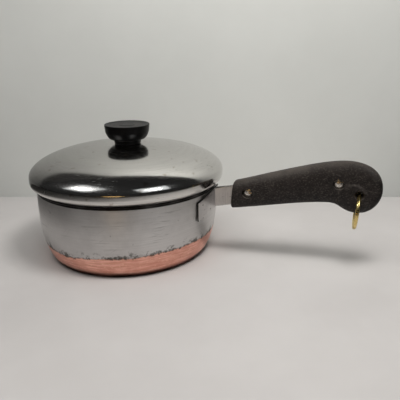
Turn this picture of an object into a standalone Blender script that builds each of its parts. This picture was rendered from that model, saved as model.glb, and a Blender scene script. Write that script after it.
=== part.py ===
"""Small steel saucepan with a copper-clad base, a domed lid and a moulded handle with a hanging ring.

Metres, +Z up. The origin is the centre of the base on the table, and the handle points along +X.
The handle, its bracket and its screws are built in two halves: left is the +Y side, right the -Y side.
"""

import math

import bmesh
import bpy
from mathutils import Matrix, Vector

MM = 0.001

# Air and clearances
GAP = 0.3 * MM                   # air between two pieces that touch
SCREW_CLEARANCE = 0.3 * MM       # round a screw's shank or sleeve
THREAD_CLEARANCE = 0.15 * MM     # between a thread and its nut
HEAD_CLEARANCE = 0.3 * MM        # round a screw's head in its counterbore
SKIRT_CLEARANCE = 1.0 * MM       # between the lid's skirt and the pan's wall
RING_CLEARANCE = 0.5 * MM        # round the ring's wire all through its hole

# Pan
WALL_RADIUS = 77.0 * MM          # outside of the straight wall
SIDE_ROUND = 14.2 * MM           # how far the side curves in to the flat of the base
PAN_HEIGHT = 62.4 * MM           # top of the lip
STRAIGHT_HEIGHT = 12.4 * MM      # straight wall and lip, above the curved side
STEEL_SHEET = 1.2 * MM
LIP_RADIUS = 1.1 * MM            # rolled lip
COPPER_HEIGHT = 18.9 * MM        # how far the cladding climbs the side
COPPER_SHEET = 0.7 * MM

# Lid
LID_OVERHANG = 5.5 * MM          # past the pan's wall
LID_RISE = 31.3 * MM             # top of the dome above the lip it rests on
LID_SHEET = 0.8 * MM
SHOULDER_RADIUS = 9.6 * MM       # the turn back in below the lid's widest line
SHOULDER_END = math.radians(50)  # how far round the shoulder turns
HEM_RADIUS = 2.5 * MM            # the tighter turn that brings the edge back under
SKIRT_BEND = 1.6 * MM
SKIRT_DEPTH = 6.0 * MM           # below the lid's seat

# Lid knob
KNOB_RADIUS = 19.4 * MM
KNOB_HEIGHT = 16.5 * MM
KNOB_RIM = 1.6 * MM              # from the cup's edge to where the dish starts
CUP_TAPER = 2.4 * MM             # how much the cup narrows on its way down
CUP_ROUND = 2.8 * MM             # height over which the cup's side rounds under
NECK_RADIUS = 11.4 * MM
NECK_HEIGHT = 3.3 * MM
DISH_DEPTH = 1.0 * MM
DISC_RADIUS = 7.0 * MM           # raised disc in the middle of the dish
DISC_RISE = 0.5 * MM
EDGE_ROUND = 0.6 * MM            # small edges on the knob
STUD_RADIUS = 2.2 * MM
STUD_LENGTH = 9.0 * MM
STUD_FLANGE_RADIUS = 5.0 * MM
STUD_FLANGE = 1.0 * MM
INSERT_WALL = 1.65 * MM
INSERT_LENGTH = 7.0 * MM

# Handle bracket: two sheets folded back to back. Their tangs carry the handle
BRACKET_SHEET = 1.2 * MM
TANG_GAP = 1.2 * MM              # between the two tangs
FOLD_STANDOFF = 2.2 * MM         # from the wall to the line where a sheet folds outwards
TANG_DROP = 11.1 * MM            # from the lip down to the tang's centre line, at the fold
TANG_SLOPE = math.tan(math.radians(11.1))
TANG_ROOT_HEIGHT = 16.5 * MM
TANG_END_HEIGHT = 12.0 * MM
TANG_PAST_SCREW = 8.0 * MM       # the tang ends this far behind the rear screw
WING_ANGLE = math.radians(21.5)  # the wing's far edge, round the wall from the handle
WING_TIP_RISE = 2.6 * MM         # the wing's far upper corner above the tang's centre line at the fold
WING_TIP_DROP = 12.9 * MM        # its far lower corner below that line
WEB_ANGLE_TOP = math.radians(15)
WEB_ANGLE_BOTTOM = math.radians(3)

# Handle outline. Heights are from the tang's centre line at the fold
HANDLE_SETBACK = 14.4 * MM       # from the fold to the handle's front face
HANDLE_LENGTH = 121.1 * MM
FRONT_TOP = 15.5 * MM
FRONT_BOTTOM = -8.1 * MM
CREST = (27.2 * MM, 37.8 * MM)   # highest point: back from the butt, and its height
HOLLOW = (41.4 * MM, 3.2 * MM)   # highest point of the underside
LOBE = (18.3 * MM, -3.8 * MM)    # lowest point of the butt
TIP_HEIGHT = 16.1 * MM
# How far each curve holds its direction past these points, before and after the point
CREST_PULLS = (20.3 * MM, 16.2 * MM)
HOLLOW_PULLS = (19.0 * MM, 10.0 * MM)
LOBE_PULLS = (12.6 * MM, 9.9 * MM)
TIP_PULLS = (10.4 * MM, 14.3 * MM)
FRONT_TOP_PULL = (37.7 * MM, 9.2 * MM)
FRONT_BOTTOM_PULL = (24.7 * MM, 3.1 * MM)

# Handle section
FRONT_LEAN = math.radians(5.4)   # the front face leans back
FRONT_ROUND = 2.0 * MM
FRONT_THICKNESS = 15.6 * MM      # both halves together
GRIP_THICKNESS = 17.0 * MM       # thickest, in the middle of the grip
RING_THICKNESS = 12.8 * MM       # at the ring's hole
BUTT_ROUND = 9.0 * MM            # how far the butt's edge rounds over, seen from above
SECTION_POWER = 2.7              # 2 is an ellipse, higher is squarer

# Ring, its hole and the round boss on both sides of it. Places are back from the butt, and height
RING_HOLE = (17.4 * MM, 12.0 * MM)
RING_RADIUS = 14.0 * MM          # to the middle of the wire
WIRE_RADIUS = 1.6 * MM
RING_LEAN = math.radians(6)      # it hangs a little towards the pan
BOSS_PLACE = (22.6 * MM, 8.1 * MM)
BOSS_RADIUS = 12.2 * MM
BOSS_RISE = 0.9 * MM

# Screws through the handle
FRONT_SCREW_SETBACK = 14.4 * MM  # from the handle's front face
FRONT_SCREW_RISE = 1.5 * MM      # above the tang's centre line
REAR_SCREW_FROM_BUTT = 33.5 * MM
SCREW_RADIUS = 1.8 * MM
HEAD_RADIUS = 3.9 * MM
HEAD_HEIGHT = 1.5 * MM
HEAD_EDGE = 0.3 * MM
SEAT_WALL = 1.6 * MM             # handle left between the tang's pocket and a screw's head
SLEEVE_WALL = 0.85 * MM
SLOT_WIDTH = 1.0 * MM
SLOT_DEPTH = 0.7 * MM

# How finely round shapes are divided
PAN_STEPS = 48
SIDE_STEPS = 8
DOME_STEPS = 14
KNOB_STEPS = 32
SCREW_STEPS = 20
BOSS_STEPS = 40
RING_STEPS = 36
WIRE_STEPS = 8
SECTION_STEPS = 12
HANDLE_STATIONS = 22
PLATE_ROWS = 3
WING_STEPS = 6
CURVE_STEPS = 16


def clear_scene():
    for old in list(bpy.data.objects):
        bpy.data.objects.remove(old)


def material(name, colour, roughness, metallic):
    made = bpy.data.materials.new(name)
    made.use_nodes = True
    shader = made.node_tree.nodes["Principled BSDF"]
    shader.inputs["Base Color"].default_value = (*colour, 1.0)
    shader.inputs["Roughness"].default_value = roughness
    shader.inputs["Metallic"].default_value = metallic
    return made


def add_object(name, mesh, finish=None):
    made = bpy.data.objects.new(name, mesh)
    bpy.context.scene.collection.objects.link(made)
    if finish is not None:
        mesh.materials.append(finish)
    return made


def mesh_from(name, points, faces, smooth_angle=35):
    """A mesh of these faces, with its normals turned outwards and its round stretches shaded smooth."""
    shape = bmesh.new()
    corners = [shape.verts.new(point) for point in points]
    for face in faces:
        shape.faces.new([corners[index] for index in face])
    bmesh.ops.recalc_face_normals(shape, faces=shape.faces)
    mesh = bpy.data.meshes.new(name)
    shape.to_mesh(mesh)
    shape.free()
    mesh.shade_smooth()
    mesh.set_sharp_from_angle(angle=math.radians(smooth_angle))
    return mesh


def lathe(name, profile, steps, smooth_angle=35):
    """Turns a closed (radius, height) outline round Z. Points at radius 0 become poles."""
    points = []
    rings = []
    for radius, height in profile:
        if radius < 1e-9:
            rings.append([len(points)] * steps)
            points.append((0.0, 0.0, height))
            continue
        rings.append([len(points) + step for step in range(steps)])
        for step in range(steps):
            angle = 2 * math.pi * step / steps
            points.append((radius * math.cos(angle), radius * math.sin(angle), height))
    faces = []
    open_ends = profile[0][0] < 1e-9 and profile[-1][0] < 1e-9
    for row in range(len(rings) - (1 if open_ends else 0)):
        lower = rings[row]
        upper = rings[(row + 1) % len(rings)]
        for step in range(steps):
            after = (step + 1) % steps
            face = [lower[step], lower[after], upper[after], upper[step]]
            faces.append(list(dict.fromkeys(face)))
    return mesh_from(name, points, faces, smooth_angle)


def arc(centre, radius, start, end, steps):
    """Points on an arc, both ends included. Angles are in radians."""
    angles = [start + (end - start) * step / steps for step in range(steps + 1)]
    return [(centre[0] + radius * math.cos(a), centre[1] + radius * math.sin(a)) for a in angles]


def cutter(name, mesh, location=(0, 0, 0), rotation=(0, 0, 0)):
    tool = add_object(name, mesh)
    tool.location = location
    tool.rotation_euler = rotation
    tool.hide_render = True
    tool.display_type = "WIRE"
    return tool


def join(target, tool, operation):
    modifier = target.modifiers.new(tool.name, "BOOLEAN")
    modifier.operation = operation
    modifier.solver = "EXACT"
    modifier.object = tool


def cut(target, tool):
    join(target, tool, "DIFFERENCE")


def box_mesh(name, low, high):
    shape = bmesh.new()
    bmesh.ops.create_cube(shape, size=1.0)
    size = Vector(high) - Vector(low)
    middle = (Vector(high) + Vector(low)) / 2
    place = Matrix.Translation(middle) @ Matrix.Diagonal((*size, 1))
    bmesh.ops.transform(shape, verts=shape.verts, matrix=place)
    mesh = bpy.data.meshes.new(name)
    shape.to_mesh(mesh)
    shape.free()
    return mesh


def rod_mesh(name, radius, low, high, steps):
    """A cylinder along Z from low to high."""
    return lathe(name, [(0, low), (radius, low), (radius, high), (0, high)], steps)


# ---------------------------------------------------------------- pan


def curve_height():
    """Height at which the curved side ends and the straight wall starts."""
    return PAN_HEIGHT - STRAIGHT_HEIGHT


def side_point(turn, inset=0.0):
    """A point on the curved side, turn 0 at its top and a right angle at the base, moved inwards by inset."""
    rise = curve_height()
    outwards = Vector((rise * math.cos(turn), -SIDE_ROUND * math.sin(turn))).normalized()
    radius = WALL_RADIUS - SIDE_ROUND * (1 - math.cos(turn)) - inset * outwards.x
    height = rise * (1 - math.sin(turn)) - inset * outwards.y
    return radius, height


def side_turn(height):
    """The turn at which the curved side reaches this height."""
    return math.asin(1 - height / curve_height())


def side_curve(start, end, inset_start, inset_end, steps=SIDE_STEPS):
    curve = []
    for step in range(steps + 1):
        share = step / steps
        turn = start + (end - start) * share
        curve.append(side_point(turn, inset_start + (inset_end - inset_start) * share))
    return curve


def pan_profile():
    """Outline of the drawn steel shell: outside from the base up, over the lip, and down the inside."""
    seat = COPPER_SHEET + GAP
    floor = seat + STEEL_SHEET
    copper_top = side_turn(COPPER_HEIGHT)
    shoulder = side_turn(COPPER_HEIGHT + GAP)
    lip_height = PAN_HEIGHT - LIP_RADIUS
    lip_centre = (WALL_RADIUS - STEEL_SHEET + LIP_RADIUS, lip_height)
    under_lip = math.acos((WALL_RADIUS - lip_centre[0]) / LIP_RADIUS)
    outline = [(0, seat)]
    outline += side_curve(math.pi / 2, copper_top, seat, seat, SIDE_STEPS - 3)
    outline += side_curve(shoulder, 0, 0, 0)
    outline += arc(lip_centre, LIP_RADIUS, -under_lip, math.pi, 8)
    outline += side_curve(0, copper_top, STEEL_SHEET, floor)
    outline += side_curve(copper_top, math.pi / 2, floor, floor, SIDE_STEPS - 3)[1:]
    outline += [(0, floor)]
    return outline


def copper_profile():
    copper_top = side_turn(COPPER_HEIGHT)
    outline = [(0, 0)]
    outline += side_curve(math.pi / 2, copper_top, 0, 0, SIDE_STEPS - 3)
    outline += side_curve(copper_top, math.pi / 2, COPPER_SHEET, COPPER_SHEET, SIDE_STEPS - 3)
    outline += [(0, COPPER_SHEET)]
    return outline


def make_pan():
    steel = material("pan_steel", (0.60, 0.58, 0.57), 0.32, 1.0)
    copper = material("copper", (0.80, 0.42, 0.30), 0.30, 1.0)
    add_object("pan_body", lathe("pan_body", pan_profile(), PAN_STEPS), steel)
    add_object("copper_base", lathe("copper_base", copper_profile(), PAN_STEPS), copper)


# ---------------------------------------------------------------- lid


def lid_seat():
    """Height of the lid's underside where it rests on the pan's lip."""
    return PAN_HEIGHT + GAP


def shoulder_centre():
    height = lid_seat() + HEM_RADIUS + (SHOULDER_RADIUS - HEM_RADIUS) * math.sin(SHOULDER_END)
    return WALL_RADIUS + LID_OVERHANG - SHOULDER_RADIUS, height


def lid_top():
    return lid_seat() + LID_RISE


def dome_rise():
    """Height of the dome above the lid's widest line. Its section is half an ellipse."""
    return lid_top() - shoulder_centre()[1]


def dome_height(radius):
    """Height of the dome's outside at this distance from the middle."""
    share = radius / (WALL_RADIUS + LID_OVERHANG)
    return lid_top() - dome_rise() * (1 - math.sqrt(1 - share**2))


def dome_line(inset):
    """The dome's section from its top to its widest line, moved inwards by inset."""
    widest = WALL_RADIUS + LID_OVERHANG
    rise = dome_rise()
    line = []
    for step in range(DOME_STEPS + 1):
        turn = math.pi / 2 * (1 - step / DOME_STEPS)
        outwards = Vector((rise * math.cos(turn), widest * math.sin(turn))).normalized()
        height = lid_top() - rise * (1 - math.sin(turn)) - inset * outwards.y
        line.append((widest * math.cos(turn) - inset * outwards.x, height))
    return line


def lid_middle_line():
    """The sheet's middle line: dome, shoulder, hem, the flat that rests on the lip, and the skirt."""
    half = LID_SHEET / 2
    across, height = shoulder_centre()
    reach = SHOULDER_RADIUS - HEM_RADIUS
    hem = (across + reach * math.cos(SHOULDER_END), height - reach * math.sin(SHOULDER_END))
    skirt_radius = WALL_RADIUS - STEEL_SHEET - SKIRT_CLEARANCE - half
    bend = (skirt_radius + SKIRT_BEND, lid_seat() + half - SKIRT_BEND)
    line = [(0, lid_top() - half)] + dome_line(half)[1:]
    line += arc((across, height), SHOULDER_RADIUS - half, 0, -SHOULDER_END, 4)[1:]
    line += arc(hem, HEM_RADIUS - half, -SHOULDER_END, -math.pi / 2, 2)[1:]
    line += arc(bend, SKIRT_BEND, math.pi / 2, math.pi, 3)
    line += [(skirt_radius, lid_seat() - SKIRT_DEPTH)]
    return line


def thicken(line, thickness):
    """The closed outline of a sheet with this middle line, which starts on the axis."""
    outer = []
    inner = []
    for index, (radius, height) in enumerate(line):
        before = line[max(index - 1, 0)]
        after = line[min(index + 1, len(line) - 1)]
        along = Vector((after[0] - before[0], after[1] - before[1])).normalized()
        if index == 0:
            along = Vector((1, 0))
        out = Vector((-along.y, along.x)) * thickness / 2
        outer.append((radius + out.x, height + out.y))
        inner.append((radius - out.x, height - out.y))
    return outer + inner[::-1]


def make_lid():
    steel = material("lid_steel", (0.62, 0.60, 0.59), 0.12, 1.0)
    add_object("lid_shell", lathe("lid_shell", thicken(lid_middle_line(), LID_SHEET), PAN_STEPS), steel)


# ---------------------------------------------------------------- knob


def knob_base():
    """Height of the middle of the knob's underside."""
    return lid_top() + GAP


def insert_radius():
    return STUD_RADIUS + THREAD_CLEARANCE + INSERT_WALL


def knob_profile():
    """Outline of the knob: the dish, the cup, the neck, and the hole for the insert and the stud."""
    base = knob_base()
    top = base + KNOB_HEIGHT
    dish = top - DISH_DEPTH
    cup_base = base + NECK_HEIGHT
    cup_radius = KNOB_RADIUS - CUP_TAPER
    pocket_radius = STUD_FLANGE_RADIUS + GAP
    flange_top = base + STUD_FLANGE + GAP
    hole_radius = insert_radius() + GAP
    hole_top = flange_top + INSERT_LENGTH + 2 * GAP
    tip_top = max(base + STUD_LENGTH, hole_top) + GAP
    outline = [(0, dish + DISC_RISE), (DISC_RADIUS - EDGE_ROUND, dish + DISC_RISE), (DISC_RADIUS, dish)]
    outline += [(KNOB_RADIUS - 2 * KNOB_RIM, dish + DISH_DEPTH / 4), (KNOB_RADIUS - KNOB_RIM, top)]
    outline += [(KNOB_RADIUS - EDGE_ROUND, top), (KNOB_RADIUS, top - EDGE_ROUND)]
    outline += [(KNOB_RADIUS - CUP_TAPER / 3, (top + cup_base) / 2), (cup_radius, cup_base + CUP_ROUND)]
    outline += [(cup_radius - 0.5 * CUP_ROUND, cup_base + 0.35 * CUP_ROUND)]
    outline += [(cup_radius - 1.2 * CUP_ROUND, cup_base), (NECK_RADIUS + EDGE_ROUND, cup_base)]
    outline += [(NECK_RADIUS, cup_base - EDGE_ROUND), (NECK_RADIUS, dome_height(NECK_RADIUS) + GAP)]
    outline += [(pocket_radius, dome_height(pocket_radius) + GAP), (pocket_radius, flange_top)]
    outline += [(hole_radius, flange_top), (hole_radius, hole_top)]
    outline += [(STUD_RADIUS + GAP, hole_top), (STUD_RADIUS + GAP, tip_top), (0, tip_top)]
    return outline


def stud_profile():
    """A weld stud: a flange on the lid and a threaded shank, drawn plain."""
    base = knob_base()
    edge = dome_height(STUD_FLANGE_RADIUS) + GAP
    top = base + STUD_LENGTH
    chamfer = 0.4 * MM
    outline = [(0, base), (STUD_FLANGE_RADIUS, edge), (STUD_FLANGE_RADIUS, base + STUD_FLANGE)]
    outline += [(STUD_RADIUS, base + STUD_FLANGE), (STUD_RADIUS, top - chamfer)]
    outline += [(STUD_RADIUS - chamfer, top), (0, top)]
    return outline


def insert_profile():
    """The threaded sleeve moulded into the knob."""
    low = knob_base() + STUD_FLANGE + 2 * GAP
    high = low + INSERT_LENGTH
    bore = STUD_RADIUS + THREAD_CLEARANCE
    return [(bore, low), (insert_radius(), low), (insert_radius(), high), (bore, high)]


def make_knob():
    bakelite = material("knob_bakelite", (0.012, 0.012, 0.013), 0.38, 0.0)
    steel = material("stud_steel", (0.55, 0.54, 0.52), 0.35, 1.0)
    brass = material("insert_brass", (0.72, 0.53, 0.26), 0.35, 1.0)
    add_object("lid_knob", lathe("lid_knob", knob_profile(), KNOB_STEPS), bakelite)
    add_object("knob_stud", lathe("knob_stud", stud_profile(), SCREW_STEPS), steel)
    add_object("knob_insert", lathe("knob_insert", insert_profile(), SCREW_STEPS), brass)


# ---------------------------------------------------------------- bracket


def fold_x():
    return WALL_RADIUS + FOLD_STANDOFF


def tang_root():
    """Height of the tang's centre line at the fold. The handle's heights are measured from it."""
    return PAN_HEIGHT - TANG_DROP


def tang_middle(x):
    """Height of the tang's centre line."""
    return tang_root() + (x - fold_x()) * TANG_SLOPE


def front_x():
    return fold_x() + HANDLE_SETBACK


def butt_x():
    return front_x() + HANDLE_LENGTH


def from_butt(place):
    """An (x, z) place from a distance back from the butt and a height from the tang's root."""
    return butt_x() - place[0], tang_root() + place[1]


def front_screw():
    x = front_x() + FRONT_SCREW_SETBACK
    return x, tang_middle(x) + FRONT_SCREW_RISE


def rear_screw():
    x = butt_x() - REAR_SCREW_FROM_BUTT
    return x, tang_middle(x)


def tang_end():
    return rear_screw()[0] + TANG_PAST_SCREW


def tang_half_height(x):
    share = (x - fold_x()) / (tang_end() - fold_x())
    return (TANG_ROOT_HEIGHT + (TANG_END_HEIGHT - TANG_ROOT_HEIGHT) * share) / 2


def tang_faces():
    """Distance of a tang's inside and outside from the middle plane."""
    return TANG_GAP / 2, TANG_GAP / 2 + BRACKET_SHEET


def wing_edges(angle):
    """Lowest and highest point of the wing at this angle from the handle."""
    share = angle / WING_ANGLE
    half = TANG_ROOT_HEIGHT / 2
    low = -half + (half - WING_TIP_DROP) * share
    high = half + (WING_TIP_RISE - half) * share
    return tang_root() + low, tang_root() + high


def wing_station(share):
    """A section of the wing: share 0 at its far edge, 1 at the bend where the web leaves the wall."""
    low_angle = WING_ANGLE + (WEB_ANGLE_BOTTOM - WING_ANGLE) * share
    high_angle = WING_ANGLE + (WEB_ANGLE_TOP - WING_ANGLE) * share
    low = wing_edges(low_angle)[0]
    high = wing_edges(high_angle)[1]
    inside = []
    outside = []
    for row in range(PLATE_ROWS + 1):
        up = row / PLATE_ROWS
        angle = low_angle + (high_angle - low_angle) * up
        height = low + (high - low) * up
        for points, radius in ((inside, WALL_RADIUS + GAP), (outside, WALL_RADIUS + GAP + BRACKET_SHEET)):
            points.append((radius * math.cos(angle), radius * math.sin(angle), height))
    return inside + outside[::-1]


def tang_station(x):
    near, far = tang_faces()
    inside = []
    outside = []
    for row in range(PLATE_ROWS + 1):
        height = tang_middle(x) + tang_half_height(x) * (2 * row / PLATE_ROWS - 1)
        inside.append((x, near, height))
        outside.append((x, far, height))
    return inside + outside[::-1]


def plate_stations():
    """Sections of a plate from the wing's far edge to the tang's end."""
    wing = [wing_station(step / WING_STEPS) for step in range(WING_STEPS + 1)]
    return wing + [tang_station(fold_x()), tang_station(tang_end())]


def loft(name, stations, smooth_angle=35):
    """Skins closed cross-sections with the same number of points, and closes both ends."""
    count = len(stations[0])
    points = [point for station in stations for point in station]
    faces = [list(range(count)), list(range((len(stations) - 1) * count, len(stations) * count))]
    for row in range(len(stations) - 1):
        for index in range(count):
            after = (index + 1) % count
            here = row * count
            there = here + count
            faces.append([here + index, here + after, there + after, there + index])
    return mesh_from(name, points, faces, smooth_angle)


def mirrored(points, side):
    return [(x, y * side, z) for x, y, z in points]


def along_y(name, radius, low, high, place, steps):
    """A round cutter across the handle at place, an (x, z) pair."""
    mesh = rod_mesh(name, radius, low, high, steps)
    return cutter(name, mesh, (place[0], 0, place[1]), (math.radians(-90), 0, 0))


def make_bracket():
    steel = material("bracket_steel", (0.52, 0.50, 0.49), 0.38, 1.0)
    hole = SCREW_RADIUS + SCREW_CLEARANCE
    reach = 2 * tang_faces()[1]
    drills = []
    for label, place in (("front", front_screw()), ("rear", rear_screw())):
        drills.append(along_y("tang_drill_" + label, hole, -reach, reach, place, SCREW_STEPS))
    for name, side in (("bracket_left", 1), ("bracket_right", -1)):
        stations = [mirrored(station, side) for station in plate_stations()]
        plate = add_object(name, loft(name, stations, 20), steel)
        for drill in drills:
            cut(plate, drill)


# ---------------------------------------------------------------- handle


def bezier(start, pull_start, pull_end, end):
    """Points on a cubic curve, both ends included."""
    points = []
    for step in range(CURVE_STEPS + 1):
        t = step / CURVE_STEPS
        s = 1 - t
        weights = (s**3, 3 * s * s * t, 3 * s * t * t, t**3)
        knots = (start, pull_start, pull_end, end)
        points.append(tuple(sum(w * knot[axis] for w, knot in zip(weights, knots)) for axis in (0, 1)))
    return points


def moved(point, along, up=0.0):
    return point[0] + along, point[1] + up


def handle_edges():
    """The handle's top and bottom edges, front to butt, as (x, z) points."""
    crest = from_butt(CREST)
    hollow = from_butt(HOLLOW)
    lobe = from_butt(LOBE)
    tip = from_butt((0, TIP_HEIGHT))
    top_front = (front_x(), tang_root() + FRONT_TOP)
    bottom_front = (front_x(), tang_root() + FRONT_BOTTOM)
    top = bezier(top_front, moved(top_front, *FRONT_TOP_PULL), moved(crest, -CREST_PULLS[0]), crest)
    top += bezier(crest, moved(crest, CREST_PULLS[1]), moved(tip, 0, TIP_PULLS[1]), tip)[1:]
    front_pull = moved(bottom_front, *FRONT_BOTTOM_PULL)
    bottom = bezier(bottom_front, front_pull, moved(hollow, -HOLLOW_PULLS[0]), hollow)
    bottom += bezier(hollow, moved(hollow, HOLLOW_PULLS[1]), moved(lobe, -LOBE_PULLS[0]), lobe)[1:]
    bottom += bezier(lobe, moved(lobe, LOBE_PULLS[1]), moved(tip, 0, -TIP_PULLS[0]), tip)[1:]
    return top, bottom


def height_at(edge, x):
    """Height of an edge at x. Before the edge's first point it keeps that point's height."""
    for (x0, z0), (x1, z1) in zip(edge, edge[1:]):
        if x <= x1:
            share = max((x - x0) / (x1 - x0), 0) if x1 > x0 else 1
            return z0 + (z1 - z0) * share
    return edge[-1][1]


def blend(share):
    """Runs from 0 to 1 without a corner at either end."""
    share = min(max(share, 0), 1)
    return share * share * (3 - 2 * share)


def half_thickness(x):
    """From the middle plane to the handle's side, which swells at the grip and thins to the butt."""
    middle = (front_x() + butt_x()) / 2
    swell = blend((x - front_x()) / (middle - front_x()))
    thin = blend((x - middle) / (from_butt(RING_HOLE)[0] - middle))
    whole = FRONT_THICKNESS + (GRIP_THICKNESS - FRONT_THICKNESS) * swell
    whole += (RING_THICKNESS - GRIP_THICKNESS) * thin
    into_butt = max((x - (butt_x() - BUTT_ROUND)) / BUTT_ROUND, 0)
    return whole / 2 * max(1 - into_butt**2.2, 0) ** (1 / 2.2)


def half_section(x, shrink, edges, inside=GAP / 2):
    """Half a rounded section from the top edge round the side to the bottom edge, leaning at the front."""
    top = height_at(edges[0], x) - abs(shrink)
    bottom = height_at(edges[1], x) + abs(shrink)
    middle = (top + bottom) / 2
    reach = (top - bottom) / 2
    side = max(half_thickness(x) - shrink, 2 * GAP) - inside
    fade = max(1 - (x - front_x()) / (0.25 * HANDLE_LENGTH), 0)
    lean = math.tan(FRONT_LEAN) * fade
    section = []
    for step in range(SECTION_STEPS + 1):
        angle = math.pi / 2 - math.pi * step / SECTION_STEPS
        up = math.copysign(abs(math.sin(angle)) ** (2 / SECTION_POWER), math.sin(angle))
        out = max(math.cos(angle), 0) ** (2 / SECTION_POWER)
        rise = reach * up
        section.append((x + lean * (rise + reach), inside + side * out, middle + rise))
    return section


def handle_mesh(name, side):
    edges = handle_edges()
    stations = []
    for step in range(4):
        into = FRONT_ROUND * (1 - math.cos(math.pi / 2 * step / 4))
        shrink = FRONT_ROUND - math.sqrt(FRONT_ROUND**2 - (FRONT_ROUND - into) ** 2)
        stations.append(half_section(front_x() + into, shrink, edges))
    first = front_x() + FRONT_ROUND
    for step in range(HANDLE_STATIONS):
        share = math.sin(math.pi / 2 * step / HANDLE_STATIONS)
        stations.append(half_section(first + (butt_x() - first) * share, 0, edges))
    points = [point for station in stations for point in mirrored(station, side)]
    count = SECTION_STEPS + 1
    last = (len(stations) - 1) * count
    tip = len(points)
    points += mirrored([(butt_x(), GAP / 2, edges[0][-1][1])], side)
    faces = [list(range(count))]
    for row in range(len(stations) - 1):
        here = row * count
        there = here + count
        for index in range(count):
            after = (index + 1) % count
            faces.append([here + index, here + after, there + after, there + index])
    for index in range(count):
        faces.append([last + index, last + (index + 1) % count, tip])
    return mesh_from(name, points, faces, 40)


def tang_pocket(name, side):
    """The space that one half leaves for its tang sheet, open at the handle's front."""
    start = fold_x()
    end = tang_end() + GAP
    depth = tang_faces()[1] + GAP
    stations = []
    for x in (start, end):
        low = tang_middle(x) - tang_half_height(x) - GAP
        high = tang_middle(x) + tang_half_height(x) + GAP
        stations.append(mirrored([(x, -GAP, low), (x, -GAP, high), (x, depth, high), (x, depth, low)], side))
    return cutter(name, loft(name, stations))


def side_cutter(name, profile, place, side, steps=SCREW_STEPS):
    """A turned cutter at place, an (x, z) pair. Its profile's height runs from the middle plane outwards."""
    turn = (math.radians(-90 * side), 0, 0)
    return cutter(name, lathe(name, profile, steps), (place[0], 0, place[1]), turn)


def head_seat():
    """Distance of a counterbore's floor from the middle plane."""
    return tang_faces()[1] + GAP + SEAT_WALL


def sleeve_radius():
    return SCREW_RADIUS + THREAD_CLEARANCE + SLEEVE_WALL


def counterbore_profile(shaft_radius):
    """A screw's hole, and the wider bore that takes its head."""
    bore = HEAD_RADIUS + HEAD_CLEARANCE
    outline = [(0, -MM), (shaft_radius, -MM), (shaft_radius, head_seat())]
    outline += [(bore, head_seat()), (bore, GRIP_THICKNESS), (0, GRIP_THICKNESS)]
    return outline


def ring_room(depth):
    """Radius the ring's hole needs at this distance from the middle plane, for the ring to swing in it."""
    wire_fall = RING_RADIUS - math.sqrt(RING_RADIUS**2 - depth**2)
    wire_slant = WIRE_RADIUS * RING_RADIUS / (RING_RADIUS - wire_fall)
    return wire_fall + wire_slant + RING_CLEARANCE


def ring_hole_profile():
    """The ring's hole in one half, widening as the ring curves away."""
    reach = RING_THICKNESS / 2 + BOSS_RISE + MM
    depths = [reach * step / 4 for step in range(5)]
    outline = [(0, -MM), (ring_room(0), -MM)]
    outline += [(ring_room(depth), depth) for depth in depths]
    return outline + [(0, reach)]


def raised_boss(name, side):
    """The handle's own surface lifted a little, kept only inside a cone round the ring's hole."""
    edges = handle_edges()
    inside = 2 * MM
    low = from_butt(BOSS_PLACE)[0] - 1.5 * BOSS_RADIUS
    high = butt_x() - 0.3 * BUTT_ROUND
    stations = []
    for step in range(11):
        x = low + (high - low) * step / 10
        stations.append(mirrored(half_section(x, -BOSS_RISE, edges, inside), side))
    boss = cutter(name, loft(name, stations, 40))
    foot = RING_THICKNESS / 2
    above = 3 * MM
    cone = [(0, MM), (BOSS_RADIUS + foot - MM, MM), (BOSS_RADIUS - above, foot + above), (0, foot + above)]
    trim = side_cutter(name + "_trim", cone, from_butt(BOSS_PLACE), side, BOSS_STEPS)
    join(boss, trim, "INTERSECT")
    return boss


def make_handle():
    bakelite = material("handle_bakelite", (0.028, 0.022, 0.019), 0.55, 0.0)
    for name, side in (("handle_left", 1), ("handle_right", -1)):
        half = add_object(name, handle_mesh(name, side), bakelite)
        join(half, raised_boss(name + "_boss", side), "UNION")
        cut(half, tang_pocket(name + "_pocket", side))
        shaft_radius = sleeve_radius() if side > 0 else SCREW_RADIUS
        for label, place in (("_front", front_screw()), ("_rear", rear_screw())):
            profile = counterbore_profile(shaft_radius + SCREW_CLEARANCE)
            cut(half, side_cutter(name + label, profile, place, side))
        cut(half, side_cutter(name + "_ring", ring_hole_profile(), from_butt(RING_HOLE), side))


# ---------------------------------------------------------------- screws


def head_heights():
    """Distance of a head's underside and top from the middle plane."""
    return head_seat() + GAP, head_seat() + GAP + HEAD_HEIGHT


def screw_profile():
    """A slotted screw standing on its tip: shank up to the head's seat, then the head."""
    seat, top = head_heights()
    tip = -(top - 2 * HEAD_EDGE)
    outline = [(0, tip), (SCREW_RADIUS - HEAD_EDGE, tip), (SCREW_RADIUS, tip + HEAD_EDGE)]
    outline += [(SCREW_RADIUS, seat), (HEAD_RADIUS, seat), (HEAD_RADIUS, top - HEAD_EDGE)]
    return outline + [(HEAD_RADIUS - HEAD_EDGE, top), (0, top)]


def nut_profile():
    """A sleeve nut: a head like the screw's, and a sleeve that reaches in beside the tang."""
    seat, top = head_heights()
    inner_end = tang_faces()[1] + GAP
    bore = SCREW_RADIUS + THREAD_CLEARANCE
    outline = [(bore, inner_end), (sleeve_radius(), inner_end), (sleeve_radius(), seat), (HEAD_RADIUS, seat)]
    outline += [(HEAD_RADIUS, top - HEAD_EDGE), (HEAD_RADIUS - HEAD_EDGE, top), (bore, top)]
    return outline


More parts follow.
